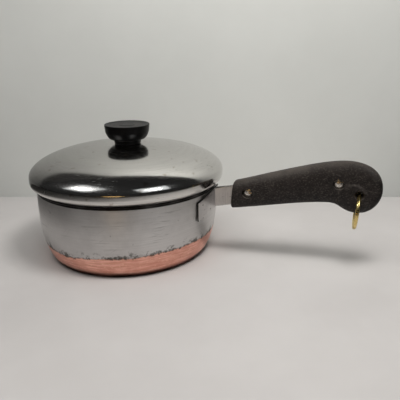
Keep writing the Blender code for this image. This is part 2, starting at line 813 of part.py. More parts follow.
def make_fastener(name, profile, place, side, slot_angle, finish):
    """One screw or nut with a driver slot. Its head faces the handle's side."""
    turn = Matrix.Rotation(math.radians(-90 * side), 4, "X")
    made = add_object(name, lathe(name, profile, SCREW_STEPS), finish)
    made.matrix_world = Matrix.Translation((place[0], 0, place[1])) @ turn
    top = head_heights()[1]
    long = HEAD_RADIUS + MM
    low = (-long, -SLOT_WIDTH / 2, top - SLOT_DEPTH)
    high = (long, SLOT_WIDTH / 2, top + MM)
    slot = cutter(name + "_slot", box_mesh(name + "_slot", low, high))
    slot.matrix_world = made.matrix_world @ Matrix.Rotation(slot_angle, 4, "Z")
    cut(made, slot)


def make_fasteners():
    nickel = material("screw_nickel", (0.66, 0.63, 0.60), 0.30, 1.0)
    for label, place, angle in (("front", front_screw(), 65), ("rear", rear_screw(), 100)):
        make_fastener(label + "_screw", screw_profile(), place, -1, math.radians(angle), nickel)
        make_fastener(label + "_nut", nut_profile(), place, 1, math.radians(angle - 40), nickel)


# ---------------------------------------------------------------- ring


def make_ring():
    """The ring hangs across the handle. Its object's origin is on the hinge axis, the middle of the hole."""
    brass = material("ring_brass", (0.78, 0.58, 0.25), 0.25, 1.0)
    profile = arc((RING_RADIUS, 0), WIRE_RADIUS, 0, 2 * math.pi, WIRE_STEPS)[:-1]
    mesh = lathe("hanging_ring", profile, RING_STEPS, 60)
    upright = Matrix.Rotation(math.radians(90), 4, "Y")
    lean = Matrix.Rotation(RING_LEAN, 4, "Y")
    mesh.transform(lean @ Matrix.Translation((0, 0, -RING_RADIUS)) @ upright)
    ring = add_object("hanging_ring", mesh, brass)
    x, z = from_butt(RING_HOLE)
    ring.location = (x, 0, z)


clear_scene()
make_pan()
make_lid()
make_knob()
make_bracket()
make_handle()
make_fasteners()
make_ring()
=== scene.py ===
"""Looks for the small steel saucepan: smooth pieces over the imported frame, their finishes, light and camera.

Metres, +Z up. The origin is the centre of the base on the table, and the handle points along +X.
"""
import math

import bmesh
import bpy
from mathutils import Matrix, Vector


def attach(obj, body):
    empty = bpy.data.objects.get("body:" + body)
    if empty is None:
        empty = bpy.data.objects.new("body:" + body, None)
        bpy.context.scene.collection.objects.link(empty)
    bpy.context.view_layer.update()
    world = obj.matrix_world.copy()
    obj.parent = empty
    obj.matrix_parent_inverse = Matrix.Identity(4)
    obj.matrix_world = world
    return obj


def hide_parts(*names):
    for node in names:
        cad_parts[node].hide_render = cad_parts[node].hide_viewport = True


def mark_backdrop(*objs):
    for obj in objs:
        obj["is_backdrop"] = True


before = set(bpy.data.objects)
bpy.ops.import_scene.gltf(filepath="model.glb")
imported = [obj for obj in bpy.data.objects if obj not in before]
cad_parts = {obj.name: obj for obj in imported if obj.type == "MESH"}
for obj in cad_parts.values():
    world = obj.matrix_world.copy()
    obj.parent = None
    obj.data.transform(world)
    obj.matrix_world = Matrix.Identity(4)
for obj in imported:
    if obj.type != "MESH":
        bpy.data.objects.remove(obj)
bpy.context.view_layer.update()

MM = 0.001

# Air and clearances
GAP = 0.3 * MM                   # air between two pieces that touch
SCREW_CLEARANCE = 0.3 * MM
THREAD_CLEARANCE = 0.15 * MM
HEAD_CLEARANCE = 0.3 * MM
SKIRT_CLEARANCE = 1.0 * MM
RING_CLEARANCE = 0.12 * MM       # just enough for the wire to turn in its hole

# Pan
WALL_RADIUS = 77.0 * MM
SIDE_ROUND = 14.2 * MM
PAN_HEIGHT = 62.4 * MM
STRAIGHT_HEIGHT = 12.4 * MM
STEEL_SHEET = 1.2 * MM
LIP_RADIUS = 1.1 * MM
COPPER_HEIGHT = 18.9 * MM
COPPER_SHEET = 0.7 * MM

# Lid
LID_OVERHANG = 5.5 * MM
LID_RISE = 31.3 * MM
LID_SHEET = 0.8 * MM
SHOULDER_RADIUS = 9.6 * MM
SHOULDER_END = math.radians(50)
SIDE_LEAN = math.radians(2.5)    # of the nearly upright band below the lid's widest line
HEM_RADIUS = 2.5 * MM
SKIRT_BEND = 1.6 * MM
SKIRT_DEPTH = 6.0 * MM

# Lid knob
KNOB_RADIUS = 19.4 * MM
KNOB_HEIGHT = 16.5 * MM
KNOB_RIM = 1.6 * MM
CUP_TAPER = 2.4 * MM
CUP_ROUND = 2.8 * MM
NECK_RADIUS = 11.4 * MM
NECK_HEIGHT = 3.3 * MM
DISH_DEPTH = 1.0 * MM
DISC_RADIUS = 7.0 * MM
DISC_RISE = 0.5 * MM
EDGE_ROUND = 0.6 * MM
KNOB_SOFTNESS = 0.9 * MM         # rounding of every corner of the knob
STUD_RADIUS = 2.2 * MM
STUD_LENGTH = 9.0 * MM
STUD_FLANGE_RADIUS = 5.0 * MM
STUD_FLANGE = 1.0 * MM
INSERT_WALL = 1.65 * MM
INSERT_LENGTH = 7.0 * MM

# Handle bracket
BRACKET_SHEET = 1.2 * MM
TANG_GAP = 1.2 * MM
FOLD_STANDOFF = 2.2 * MM
TANG_DROP = 11.1 * MM
TANG_SLOPE = math.tan(math.radians(11.1))
TANG_ROOT_HEIGHT = 16.5 * MM
TANG_END_HEIGHT = 12.0 * MM
TANG_PAST_SCREW = 8.0 * MM
WING_ANGLE = math.radians(21.5)
WING_TIP_RISE = 2.6 * MM
WING_TIP_DROP = 12.9 * MM
WEB_ANGLE_TOP = math.radians(15)
WEB_ANGLE_BOTTOM = math.radians(3)
SHEET_EDGE = 0.22 * MM           # rounding of the bracket's cut edges and folds
FOLD_ANGLE = math.radians(14)    # the least bend that is rounded as a fold

# Handle outline. Places are back from the butt, and height above the tang's centre line at the fold
HANDLE_SETBACK = 14.4 * MM
HANDLE_LENGTH = 121.1 * MM
FRONT_TOP = 15.5 * MM
FRONT_BOTTOM = -8.1 * MM
CREST = (27.2 * MM, 37.8 * MM)
HOLLOW = (41.4 * MM, 3.2 * MM)
LOBE = (18.3 * MM, -3.8 * MM)
TIP_HEIGHT = 16.1 * MM
CREST_PULLS = (20.3 * MM, 16.2 * MM)
HOLLOW_PULLS = (19.0 * MM, 10.0 * MM)
LOBE_PULLS = (12.6 * MM, 9.9 * MM)
TIP_PULLS = (10.4 * MM, 14.3 * MM)
FRONT_TOP_PULL = (37.7 * MM, 9.2 * MM)
FRONT_BOTTOM_PULL = (24.7 * MM, 3.1 * MM)

# Handle section
FRONT_LEAN = math.radians(5.4)
FRONT_ROUND = 2.0 * MM
FRONT_THICKNESS = 15.6 * MM
GRIP_THICKNESS = 17.0 * MM
RING_THICKNESS = 12.8 * MM
BUTT_ROUND = 9.0 * MM
SECTION_POWER = 2.7              # 2 is an ellipse, more is squarer
BUTT_POWER = 2.2
LEAN_REACH = 0.25                # share of the length over which the front's lean fades out

# Ring, its hole and the boss
RING_HOLE = (17.4 * MM, 12.0 * MM)
RING_RADIUS = 14.0 * MM
WIRE_RADIUS = 1.6 * MM
RING_LEAN = math.radians(6)
BOSS_PLACE = (22.6 * MM, 8.1 * MM)
BOSS_RADIUS = 12.2 * MM
BOSS_RISE = 0.9 * MM
BOSS_EDGE = 1.0 * MM             # width over which the boss rises
BOSS_FACING = 0.7                # how squarely the side faces out where the boss stands at its full rise
HOLE_EDGE = 0.35 * MM            # softened edges of the holes

# Screws
FRONT_SCREW_SETBACK = 14.4 * MM
FRONT_SCREW_RISE = 1.5 * MM
REAR_SCREW_FROM_BUTT = 33.5 * MM
SCREW_RADIUS = 1.8 * MM
HEAD_RADIUS = 3.9 * MM
HEAD_HEIGHT = 1.5 * MM
HEAD_DOME = 0.75 * MM            # how much lower a head's edge is than its middle
SEAT_WALL = 1.6 * MM
SLEEVE_WALL = 0.85 * MM
SLOT_WIDTH = 0.8 * MM
SLOT_DEPTH = 0.7 * MM
TIP_SETBACK = 0.6 * MM           # from the nut's face in to the screw's tip
TIP_CHAMFER = 0.3 * MM
SCREW_SLOTS = {"front": math.radians(65), "rear": math.radians(100)}
NUT_TURN = math.radians(-40)     # how far a nut's slot is turned from its screw's

# How finely shapes are divided
TURN_STEPS = 288
SIDE_STEPS = 48
DOME_STEPS = 64
ARC_STEPS = 24
SMALL_STEPS = 64
SECTION_STEPS = 88
HANDLE_STATIONS = 170
FRONT_STEPS = 8
CORNER_STEPS = 5
SHEET_EDGE_STEPS = 3
HOLE_EDGE_STEPS = 6
KNOB_STEPS = 160
RING_STEPS = 144
WIRE_STEPS = 28
CURVE_STEPS = 64
WING_STEPS = 28
PLATE_ROWS = 20

# Camera and stage
CAMERA_PLACE = (189.2 * MM, -387.9 * MM, 182.3 * MM)
CAMERA_HEADING = -0.24979        # radians from +Y towards +X
CAMERA_DIP = 0.224
CAMERA_LENS = 44.58
CAMERA_SHIFT = (-0.0704, -0.1209)
WALL_DISTANCE = 559 * MM         # from the camera to the backdrop, along the floor


# ---- node trees


class Bench:
    """Adds nodes to one tree. An input is given as a value or as another node's output."""

    def __init__(self, tree):
        self.tree = tree

    def feed(self, socket, value):
        if isinstance(value, bpy.types.NodeSocket):
            self.tree.links.new(value, socket)
        else:
            socket.default_value = value

    def add(self, kind, inputs=None, **settings):
        node = self.tree.nodes.new(kind)
        for name, value in settings.items():
            setattr(node, name, value)
        for name, value in (inputs or {}).items():
            self.feed(node.inputs[name], value)
        return node

    def math(self, operation, *values):
        return self.add("ShaderNodeMath", dict(enumerate(values)), operation=operation).outputs[0]

    def plus(self, first, second):
        return self.math("ADD", first, second)

    def minus(self, first, second):
        return self.math("SUBTRACT", first, second)

    def times(self, first, second):
        return self.math("MULTIPLY", first, second)

    def most(self, first, second):
        return self.math("MAXIMUM", first, second)

    def vector(self, operation, *values):
        return self.add("ShaderNodeVectorMath", dict(enumerate(values)), operation=operation).outputs[0]

    def measure(self, operation, *vectors):
        """A number from vectors: their LENGTH, DISTANCE or DOT_PRODUCT."""
        inputs = dict(enumerate(vectors))
        return self.add("ShaderNodeVectorMath", inputs, operation=operation).outputs["Value"]

    def split(self, vector):
        return self.add("ShaderNodeSeparateXYZ", {0: vector}).outputs

    def joined(self, x, y, z):
        return self.add("ShaderNodeCombineXYZ", {0: x, 1: y, 2: z}).outputs[0]

    def fade(self, value, low, high, to_low=0.0, to_high=1.0):
        """to_low below low, to_high above high, and a smooth run between."""
        inputs = {"Value": value, "From Min": low, "From Max": high, "To Min": to_low, "To Max": to_high}
        return self.add("ShaderNodeMapRange", inputs, interpolation_type="SMOOTHSTEP").outputs[0]

    def noise(self, place, scale, detail, roughness):
        inputs = {"Vector": place, "Scale": scale, "Detail": detail, "Roughness": roughness}
        return self.add("ShaderNodeTexNoise", inputs).outputs["Fac"]

    def mix(self, share, first, second):
        return self.add("ShaderNodeMix", {0: share, 6: first, 7: second}, data_type="RGBA").outputs[2]

    def tint(self, base, colour, share, amount):
        """Lays up to amount of a colour over the base, where share is high."""
        return self.mix(self.times(share, amount), base, colour)

    def group(self, tree, kind="ShaderNodeGroup", **inputs):
        """The outputs of one use of a node group. Inputs are named with underscores for spaces."""
        node = self.add(kind, node_tree=tree)
        for name, value in inputs.items():
            self.feed(node.inputs[name.replace("_", " ")], value)
        return node.outputs


SOCKET_TYPES = {float: "NodeSocketFloat", int: "NodeSocketInt", tuple: "NodeSocketVector",
                "geometry": "NodeSocketGeometry", "material": "NodeSocketMaterial"}


def new_tree(name, kind, outputs, output_type, **inputs):
    """A node group with named sockets. An input is given as its first value, or as its type's name."""
    tree = bpy.data.node_groups.new(name, kind)
    for label, value in inputs.items():
        named = isinstance(value, str)
        kind_of_input = SOCKET_TYPES[value if named else type(value)]
        label = label.replace("_", " ")
        socket = tree.interface.new_socket(name=label, in_out="INPUT", socket_type=kind_of_input)
        if not named:
            socket.default_value = value
    for label in outputs:
        tree.interface.new_socket(name=label, in_out="OUTPUT", socket_type=output_type)
    bench = Bench(tree)
    given = bench.add("NodeGroupInput").outputs
    return bench, given, bench.add("NodeGroupOutput")


def new_effect(name, outputs, **inputs):
    """A shader group that gives numbers, from a place on the surface and the effect's own sizes."""
    return new_tree(name, "ShaderNodeTree", outputs, "NodeSocketFloat", Place=(0.0, 0.0, 0.0), **inputs)


def finish_group(bench, end, **results):
    for name, value in results.items():
        bench.feed(end.inputs[name], value)
    return bench.tree


def make_polishing_lines():
    """Fine lines left by turning a piece against a polishing wheel: they run round the Z axis."""
    bench, given, end = new_effect("polishing lines", ["Lines"], Run=14.0, Fineness=1400.0)
    parts = bench.split(given["Place"])
    radius = bench.measure("LENGTH", bench.vector("MULTIPLY", given["Place"], FLAT))
    across = bench.times(bench.minus(radius, parts["Z"]), given["Fineness"])
    x = bench.times(parts["X"], given["Run"])
    y = bench.times(parts["Y"], given["Run"])
    return finish_group(bench, end, Lines=bench.noise(bench.joined(x, y, across), 1.0, 4.0, 0.7))


def make_hair_scratches():
    """Thin scratches in one direction, in patches. Cover sets how few there are."""
    sizes = {"Turn": (0.0, 0.0, 0.0), "Run": 40.0, "Fineness": 1500.0, "Cover": 0.66, "Patch": 35.0}
    bench, given, end = new_effect("hair scratches", ["Scratches"], **sizes)
    turned = bench.add("ShaderNodeVectorRotate", {"Vector": given["Place"], "Rotation": given["Turn"]},
                       rotation_type="EULER_XYZ").outputs[0]
    scale = bench.joined(given["Run"], given["Run"], given["Fineness"])
    lines = bench.noise(bench.vector("MULTIPLY", turned, scale), 1.0, 2.0, 0.5)
    thin = bench.fade(lines, given["Cover"], bench.plus(given["Cover"], 0.05))
    patch = bench.fade(bench.noise(given["Place"], given["Patch"], 2.0, 0.5), 0.48, 0.62)
    return finish_group(bench, end, Scratches=bench.times(thin, patch))


def make_smudges():
    """Broad smears of handling and small specks of dirt."""
    sizes = {"Broad_Size": 18.0, "Speck_Size": 420.0, "Speck_Cover": 0.70}
    bench, given, end = new_effect("smudges", ["Broad", "Specks"], **sizes)
    broad = bench.noise(given["Place"], given["Broad Size"], 5.0, 0.6)
    specks = bench.noise(given["Place"], given["Speck Size"], 2.0, 0.5)
    top = bench.plus(given["Speck Cover"], 0.06)
    specks = bench.fade(specks, given["Speck Cover"], top)
    return finish_group(bench, end, Broad=bench.fade(broad, 0.3, 0.7), Specks=specks)


def make_copper_edge():
    """Where the plated copper ends on the side: a slightly tilted, ragged line with tarnish above it."""
    sizes = {"Height": 18.5 * MM, "Tilt": 0.03, "Wander": 2.0 * MM, "Tarnish_Width": 4.0 * MM}
    bench, given, end = new_effect("copper edge", ["Copper", "Tarnish"], **sizes)
    place = given["Place"]
    parts = bench.split(place)
    slow = bench.minus(bench.noise(place, 26.0, 2.0, 0.5), 0.5)
    ragged = bench.minus(bench.noise(place, 330.0, 4.0, 0.65), 0.5)
    wander = bench.times(bench.plus(bench.times(slow, 1.2), bench.times(ragged, 0.55)), given["Wander"])
    tilted = bench.plus(given["Height"], bench.times(parts["X"], given["Tilt"]))
    above = bench.minus(parts["Z"], bench.plus(tilted, wander))
    copper = bench.fade(above, -0.3 * MM, 0.3 * MM, 1.0, 0.0)
    rough = bench.noise(place, 190.0, 4.0, 0.7)
    reach = bench.times(given["Tarnish Width"], bench.fade(rough, 0.42, 0.68, 0.15, 1.0))
    share = bench.math("DIVIDE", above, reach)
    dark = bench.times(bench.fade(share, -0.25, 0.0), bench.fade(share, 0.0, 1.0, 1.0, 0.0))
    grainy = bench.times(dark, bench.fade(rough, 0.35, 0.6, 0.25, 1.0))
    return finish_group(bench, end, Copper=copper, Tarnish=grainy)


def make_moulding_grain():
    """The fibrous grain of old moulded resin, and the worn patches that hands leave."""
    sizes = {"Grain_Size": 1500.0, "Run": 0.35, "Wear_Size": 38.0}
    bench, given, end = new_effect("moulding grain", ["Grain", "Wear", "Fibres"], **sizes)
    stretched = bench.vector("MULTIPLY", given["Place"], bench.joined(given["Run"], 1.0, 1.0))
    grain = bench.noise(stretched, given["Grain Size"], 3.0, 0.6)
    fibres = bench.noise(stretched, bench.times(given["Grain Size"], 0.28), 4.0, 0.7)
    wear = bench.fade(bench.noise(given["Place"], given["Wear Size"], 5.0, 0.65), 0.36, 0.68)
    return finish_group(bench, end, Grain=grain, Wear=wear, Fibres=fibres)


def make_patina():
    """Brown spots and a general dulling on small brass and nickel pieces."""
    bench, given, end = new_effect("patina", ["Spots", "Dull"], Size=300.0, Cover=0.56)
    spots = bench.noise(given["Place"], given["Size"], 4.0, 0.6)
    spots = bench.fade(spots, given["Cover"], bench.plus(given["Cover"], 0.1))
    dull = bench.noise(given["Place"], bench.times(given["Size"], 3.5), 3.0, 0.6)
    return finish_group(bench, end, Spots=spots, Dull=dull)


FLAT = (1.0, 1.0, 0.0)           # leaves out a place's height when multiplied by it
POLISHING_LINES = make_polishing_lines()
HAIR_SCRATCHES = make_hair_scratches()
SMUDGES = make_smudges()
COPPER_EDGE = make_copper_edge()
MOULDING_GRAIN = make_moulding_grain()
PATINA = make_patina()


# ---- finishes


def rgb(red, green, blue):
    return (red, green, blue, 1.0)


STEEL_BRIGHT = rgb(0.62, 0.605, 0.595)
STEEL_DULL = rgb(0.535, 0.52, 0.512)
STEEL_SMEARED = rgb(0.40, 0.385, 0.38)
STEEL_GRIME = rgb(0.12, 0.115, 0.11)
# near-black painted shade under the lid's hem
CREVICE_SHADE = rgb(0.012, 0.010, 0.009)
COPPER_BRIGHT = rgb(0.95, 0.55, 0.44)
COPPER_DULL = rgb(0.66, 0.29, 0.215)
COPPER_FLECK = rgb(1.0, 0.72, 0.5)
COPPER_TARNISH = rgb(0.045, 0.046, 0.036)
# dark brown painted shade on the copper's lowest few millimetres
COPPER_BASE_SHADE = rgb(0.085, 0.03, 0.018)
LID_DULL = rgb(0.58, 0.565, 0.55)
LID_BRIGHT = rgb(0.70, 0.685, 0.66)
LID_STAIN = rgb(0.30, 0.25, 0.19)
RESIN_DARK = rgb(0.008, 0.0062, 0.0058)
RESIN_BROWN = rgb(0.024, 0.019, 0.017)
# lighter top of the handle: partly wear, partly painted sheen
RESIN_WEAR_AND_SHEEN = rgb(0.080, 0.069, 0.060)
RESIN_SPECKLE = rgb(0.085, 0.073, 0.064)
RESIN_SCRATCH = rgb(0.13, 0.11, 0.095)
KNOB_DARK = rgb(0.0025, 0.0025, 0.0027)
KNOB_GREY = rgb(0.0055, 0.005, 0.005)
KNOB_DUST = rgb(0.060, 0.059, 0.058)
BRACKET_DULL = rgb(0.50, 0.48, 0.475)
BRACKET_BRIGHT = rgb(0.64, 0.62, 0.61)
BRACKET_GRAIN = rgb(0.33, 0.31, 0.31)
WELD_DARK = rgb(0.07, 0.065, 0.06)

# heights between which the painted shade at the base fades out
BASE_SHADE_EDGE = (1.4 * MM, 5.0 * MM)
# painted shade under the lid
LIP_SHADE = (58.4 * MM, 59.0 * MM, 61.9 * MM, 62.3 * MM)   # heights where it starts, is full, and ends
WELD_PLACES = ((17.0, 50.8 * MM), (8.0, 44.0 * MM), (17.0, 39.6 * MM))   # degrees from the handle, height
WELD_RADIUS = 0.9 * MM


def new_finish(name, **constants):
    """A new material, a bench for its nodes, its Principled shader, and the place on the surface."""
    made = bpy.data.materials.new(name)
    made.use_nodes = True
    shader = made.node_tree.nodes["Principled BSDF"]
    for label, value in constants.items():
        shader.inputs[label.replace("_", " ")].default_value = value
    bench = Bench(made.node_tree)
    return made, bench, shader, bench.add("ShaderNodeTexCoord").outputs["Object"]


def connect(bench, shader, **sockets):
    for label, value in sockets.items():
        bench.feed(shader.inputs[label.replace("_", " ")], value)


def bump(bench, height, strength, distance):
    inputs = {"Height": height, "Strength": strength, "Distance": distance}
    return bench.add("ShaderNodeBump", inputs).outputs[0]


def normal(bench):
    return bench.add("ShaderNodeNewGeometry").outputs["Normal"]


def polished(bench, place, run, fineness):
    return bench.group(POLISHING_LINES, Place=place, Run=run, Fineness=fineness)[0]


def scratched(bench, place, turn, run, fineness, cover):
    return bench.group(HAIR_SCRATCHES, Place=place, Turn=turn, Run=run, Fineness=fineness, Cover=cover)[0]


def smudged(bench, place, broad_size, speck_size, cover):
    """How smeared the surface is, and its specks."""
    made = bench.group(SMUDGES, Place=place, Broad_Size=broad_size, Speck_Size=speck_size, Speck_Cover=cover)
    return made["Broad"], made["Specks"]


def steel_surface(bench, place):
    """Colour, roughness and height of the satin steel that the pan is drawn from."""
    lines = polished(bench, place, 22.0, 3200.0)
    smear, specks = smudged(bench, place, 22.0, 300.0, 0.71)
    long_marks = scratched(bench, place, (0.05, 0.04, 0.0), 30.0, 1100.0, 0.63)
    short_marks = scratched(bench, place, (0.7, 0.5, 0.0), 60.0, 1700.0, 0.66)
    marks = bench.most(bench.times(long_marks, 0.45), bench.times(short_marks, 0.5))
    base = bench.mix(bench.fade(lines, 0.3, 0.7), STEEL_DULL, STEEL_BRIGHT)
    base = bench.mix(bench.fade(smear, 0.0, 1.0, 0.6, 0.0), base, STEEL_SMEARED)
    base = bench.mix(marks, base, STEEL_GRIME)
    base = bench.tint(base, STEEL_GRIME, specks, 0.6)
    roughness = bench.plus(bench.fade(lines, 0.25, 0.75, 0.27, 0.31), bench.times(smear, 0.06))
    return base, roughness, bench.minus(lines, marks)


def copper_surface(bench, place):
    """Colour, roughness and height of the copper, with painted shade darkening it towards the base where it
    meets the table.
    """
    lines = polished(bench, place, 60.0, 1100.0)
    smear, specks = smudged(bench, place, 60.0, 520.0, 0.62)
    base = bench.mix(bench.fade(lines, 0.30, 0.70), COPPER_DULL, COPPER_BRIGHT)
    base = bench.mix(bench.fade(smear, 0.2, 1.0, 0.0, 0.5), base, COPPER_DULL)
    base = bench.tint(base, COPPER_FLECK, specks, 0.35)
    wavering = bench.times(bench.noise(place, 120.0, 4.0, 0.6), 2.4 * MM)
    # painted shade: the copper darkens towards the table, with a wavering edge
    base_shade = bench.fade(bench.minus(bench.split(place)["Z"], wavering), *BASE_SHADE_EDGE, 1.0, 0.0)
    mottled = bench.times(base_shade, bench.fade(smear, 0.0, 1.0, 0.95, 0.7))
    base = bench.mix(mottled, base, COPPER_BASE_SHADE)
    roughness = bench.plus(bench.fade(lines, 0.25, 0.75, 0.30, 0.44), bench.times(base_shade, 0.12))
    return base, roughness, lines


def crevice_shade(bench, place):
    """Painted shade in the crevice between the pan's lip and the lid: the top of the wall is darkened where
    the lid's hem shades it.
    """
    height = bench.split(place)["Z"]
    low = bench.fade(height, *LIP_SHADE[:2])
    high = bench.fade(height, *LIP_SHADE[2:], 1.0, 0.0)
    patchy = bench.fade(bench.noise(place, 60.0, 3.0, 0.6), 0.2, 0.6, 0.88, 1.0)
    return bench.times(bench.times(low, high), patchy)


def facing_out(bench, place):
    """1 on faces that look away from the Z axis, 0 on a hollow piece's inside."""
    outwards = bench.measure("DOT_PRODUCT", bench.vector("MULTIPLY", place, FLAT), normal(bench))
    return bench.fade(outwards, -2.0 * MM, 2.0 * MM)


def clad_finish(name, hollow):
    """Satin steel above and copper below one ragged edge, which the wall and the cladding share.

    A hollow piece shows copper, tarnish and the painted shade under the lid on its outside only.
    """
    made, bench, shader, place = new_finish(name, Metallic=1.0, Anisotropic=0.6, Anisotropic_Rotation=0.25)
    steel, steel_roughness, steel_height = steel_surface(bench, place)
    copper, copper_roughness, copper_height = copper_surface(bench, place)
    edge = bench.group(COPPER_EDGE, Place=place, Height=COPPER_HEIGHT - 1.2 * MM, Tilt=0.034,
                       Wander=4.6 * MM, Tarnish_Width=9.0 * MM)
    outside = facing_out(bench, place) if hollow else 1.0
    share = bench.times(edge["Copper"], outside)
    tarnish = bench.times(bench.times(edge["Tarnish"], 0.85), outside)
    # painted shade under the lid's hem, darkening the top of the wall
    crevice = bench.times(crevice_shade(bench, place), outside)
    colour = bench.mix(tarnish, bench.mix(share, steel, copper), COPPER_TARNISH)
    colour = bench.mix(crevice, colour, CREVICE_SHADE)
    steel_part = bench.times(steel_roughness, bench.minus(1.0, share))
    roughness = bench.plus(bench.times(copper_roughness, share), steel_part)
    roughness = bench.plus(roughness, bench.times(tarnish, 0.25))
    roughness = bench.plus(roughness, bench.times(crevice, 0.2))
    height = bench.plus(bench.times(copper_height, share), steel_height)
    turning = bench.add("ShaderNodeTangent", direction_type="RADIAL", axis="Z").outputs[0]
    connect(bench, shader, Base_Color=colour, Roughness=roughness, Tangent=turning,
            Normal=bump(bench, height, 0.025, 0.04 * MM))
    return made


def lid_finish():
    """Buffed steel gone a little hazy, with fine scuffs that glint in the highlights."""
    made, bench, shader, place = new_finish("buffed lid steel", Metallic=1.0, Anisotropic=0.15)
    lines = polished(bench, place, 30.0, 1500.0)
    smear, specks = smudged(bench, place, 20.0, 1200.0, 0.56)
    stain = smudged(bench, place, 55.0, 150.0, 0.66)[1]
    marks = bench.most(scratched(bench, place, (1.1, 0.3, 0.6), 110.0, 1500.0, 0.66),
                       scratched(bench, place, (0.4, 1.2, 0.9), 120.0, 1200.0, 0.67))
    base = bench.mix(bench.fade(lines, 0.3, 0.7), LID_DULL, LID_BRIGHT)
    base = bench.tint(base, LID_STAIN, stain, 0.55)
    base = bench.tint(base, STEEL_GRIME, marks, 0.65)
    haze = bench.fade(smear, 0.0, 1.0, 0.10, 0.16)
    roughness = bench.plus(bench.plus(haze, bench.times(specks, 0.07)), bench.times(marks, 0.2))
    height = bench.plus(bench.times(lines, 0.3), bench.noise(place, 1000.0, 3.0, 0.65))
    connect(bench, shader, Base_Color=base, Roughness=roughness, Normal=bump(bench, height, 0.17, 0.03 * MM))
    return made


def handle_finish():
    """Black-brown moulded resin with a fibrous grain, lighter grey and dry along the top: partly wear from
    hands, partly painted sheen of the light from above.
    """
    made, bench, shader, place = new_finish("worn handle resin", Specular_IOR_Level=0.25)
    grain = bench.group(MOULDING_GRAIN, Place=place, Grain_Size=950.0, Run=0.7, Wear_Size=45.0)
    marks = scratched(bench, place, (0.2, -0.2, 0.0), 60.0, 1400.0, 0.62)
    upwards = bench.fade(bench.split(normal(bench))["Z"], -0.1, 0.9)
    # faces that look up are lightened: painted sheen of the light from above, patchy with wear
    wear_and_sheen = bench.times(upwards, bench.fade(grain["Wear"], 0.0, 1.0, 0.5, 1.0))
    base = bench.mix(bench.fade(grain["Fibres"], 0.3, 0.72), RESIN_DARK, RESIN_BROWN)
    base = bench.tint(base, RESIN_WEAR_AND_SHEEN, wear_and_sheen, 0.8)
    base = bench.mix(bench.fade(grain["Grain"], 0.50, 0.66, 0.0, 0.55), base, RESIN_SPECKLE)
    base = bench.tint(base, RESIN_SCRATCH, marks, 0.3)
    roughness = bench.plus(bench.fade(grain["Grain"], 0.3, 0.7, 0.46, 0.62), bench.times(wear_and_sheen, 0.08))
    height = bench.minus(bench.plus(grain["Grain"], grain["Fibres"]), marks)
    connect(bench, shader, Base_Color=base, Roughness=roughness, Normal=bump(bench, height, 0.35, 0.12 * MM))
    return made


def knob_finish():
    """Glossier black resin, with dust and wear in the dish."""
    made, bench, shader, place = new_finish("black knob resin", Specular_IOR_Level=0.2)
    grain = bench.group(MOULDING_GRAIN, Place=place, Grain_Size=1500.0, Run=1.0, Wear_Size=90.0)
    lines = polished(bench, place, 60.0, 1500.0)
    upwards = bench.fade(bench.split(normal(bench))["Z"], 0.5, 0.9)
    dusty = bench.times(upwards, bench.fade(grain["Wear"], 0.0, 1.0, 0.55, 1.0))
    base = bench.mix(bench.fade(grain["Fibres"], 0.3, 0.7), KNOB_DARK, KNOB_GREY)
    base = bench.tint(base, KNOB_DUST, dusty, 0.7)
    roughness = bench.plus(bench.fade(lines, 0.3, 0.7, 0.34, 0.44), bench.times(dusty, 0.2))
    height = bench.plus(lines, bench.times(grain["Grain"], 0.6))
    connect(bench, shader, Base_Color=base, Roughness=roughness, Normal=bump(bench, height, 0.2, 0.08 * MM))
    return made


def weld_spots(bench, place):
    """1 on the marks of the bracket's spot welds."""
    both_sides = bench.vector("ABSOLUTE", place)
    radius = WALL_RADIUS + GAP + BRACKET_SHEET
    welds = 0.0
    for turn, height in WELD_PLACES:
        angle = math.radians(turn)
        centre = (radius * math.cos(angle), radius * math.sin(angle), height)
        reach = bench.measure("DISTANCE", both_sides, centre)
        welds = bench.most(bench.fade(reach, WELD_RADIUS / 2, WELD_RADIUS, 1.0, 0.0), welds)
    return welds


def bracket_finish():
    """Pressed steel with a vertical rolling grain and the marks of its spot welds."""
    made, bench, shader, place = new_finish("bracket steel", Metallic=1.0)
    rolling = scratched(bench, place, (0.0, math.pi / 2, 0.0), 45.0, 1500.0, 0.5)
    smear, specks = smudged(bench, place, 45.0, 600.0, 0.66)
    welds = weld_spots(bench, place)
    base = bench.mix(bench.fade(smear, 0.1, 0.9), BRACKET_DULL, BRACKET_BRIGHT)
    base = bench.tint(base, BRACKET_GRAIN, rolling, 0.3)
    base = bench.tint(base, STEEL_GRIME, specks, 0.5)
    base = bench.tint(base, WELD_DARK, welds, 0.8)
    roughness = bench.plus(bench.fade(smear, 0.0, 1.0, 0.30, 0.42), bench.times(rolling, 0.1))
    height = bench.minus(bench.times(rolling, -0.4), bench.times(welds, 3.0))
    connect(bench, shader, Base_Color=base, Roughness=roughness, Normal=bump(bench, height, 0.25, 0.1 * MM))
    return made


def small_metal_finish(name, bright, dull, spot, polish, size, cover):
    """Turned or drawn metal on a small piece: dulled, with spots of patina."""
    made, bench, shader, place = new_finish(name, Metallic=1.0)
    patina = bench.group(PATINA, Place=place, Size=size, Cover=cover)
    base = bench.mix(bench.fade(patina["Dull"], 0.3, 0.7), bright, dull)
    base = bench.tint(base, spot, patina["Spots"], 0.85)
    roughness = bench.plus(bench.fade(patina["Dull"], 0.3, 0.7, polish, polish + 0.14),
                           bench.times(patina["Spots"], 0.3))
    height = bench.minus(patina["Dull"], patina["Spots"])
    connect(bench, shader, Base_Color=base, Roughness=roughness, Normal=bump(bench, height, 0.2, 0.05 * MM))
    return made
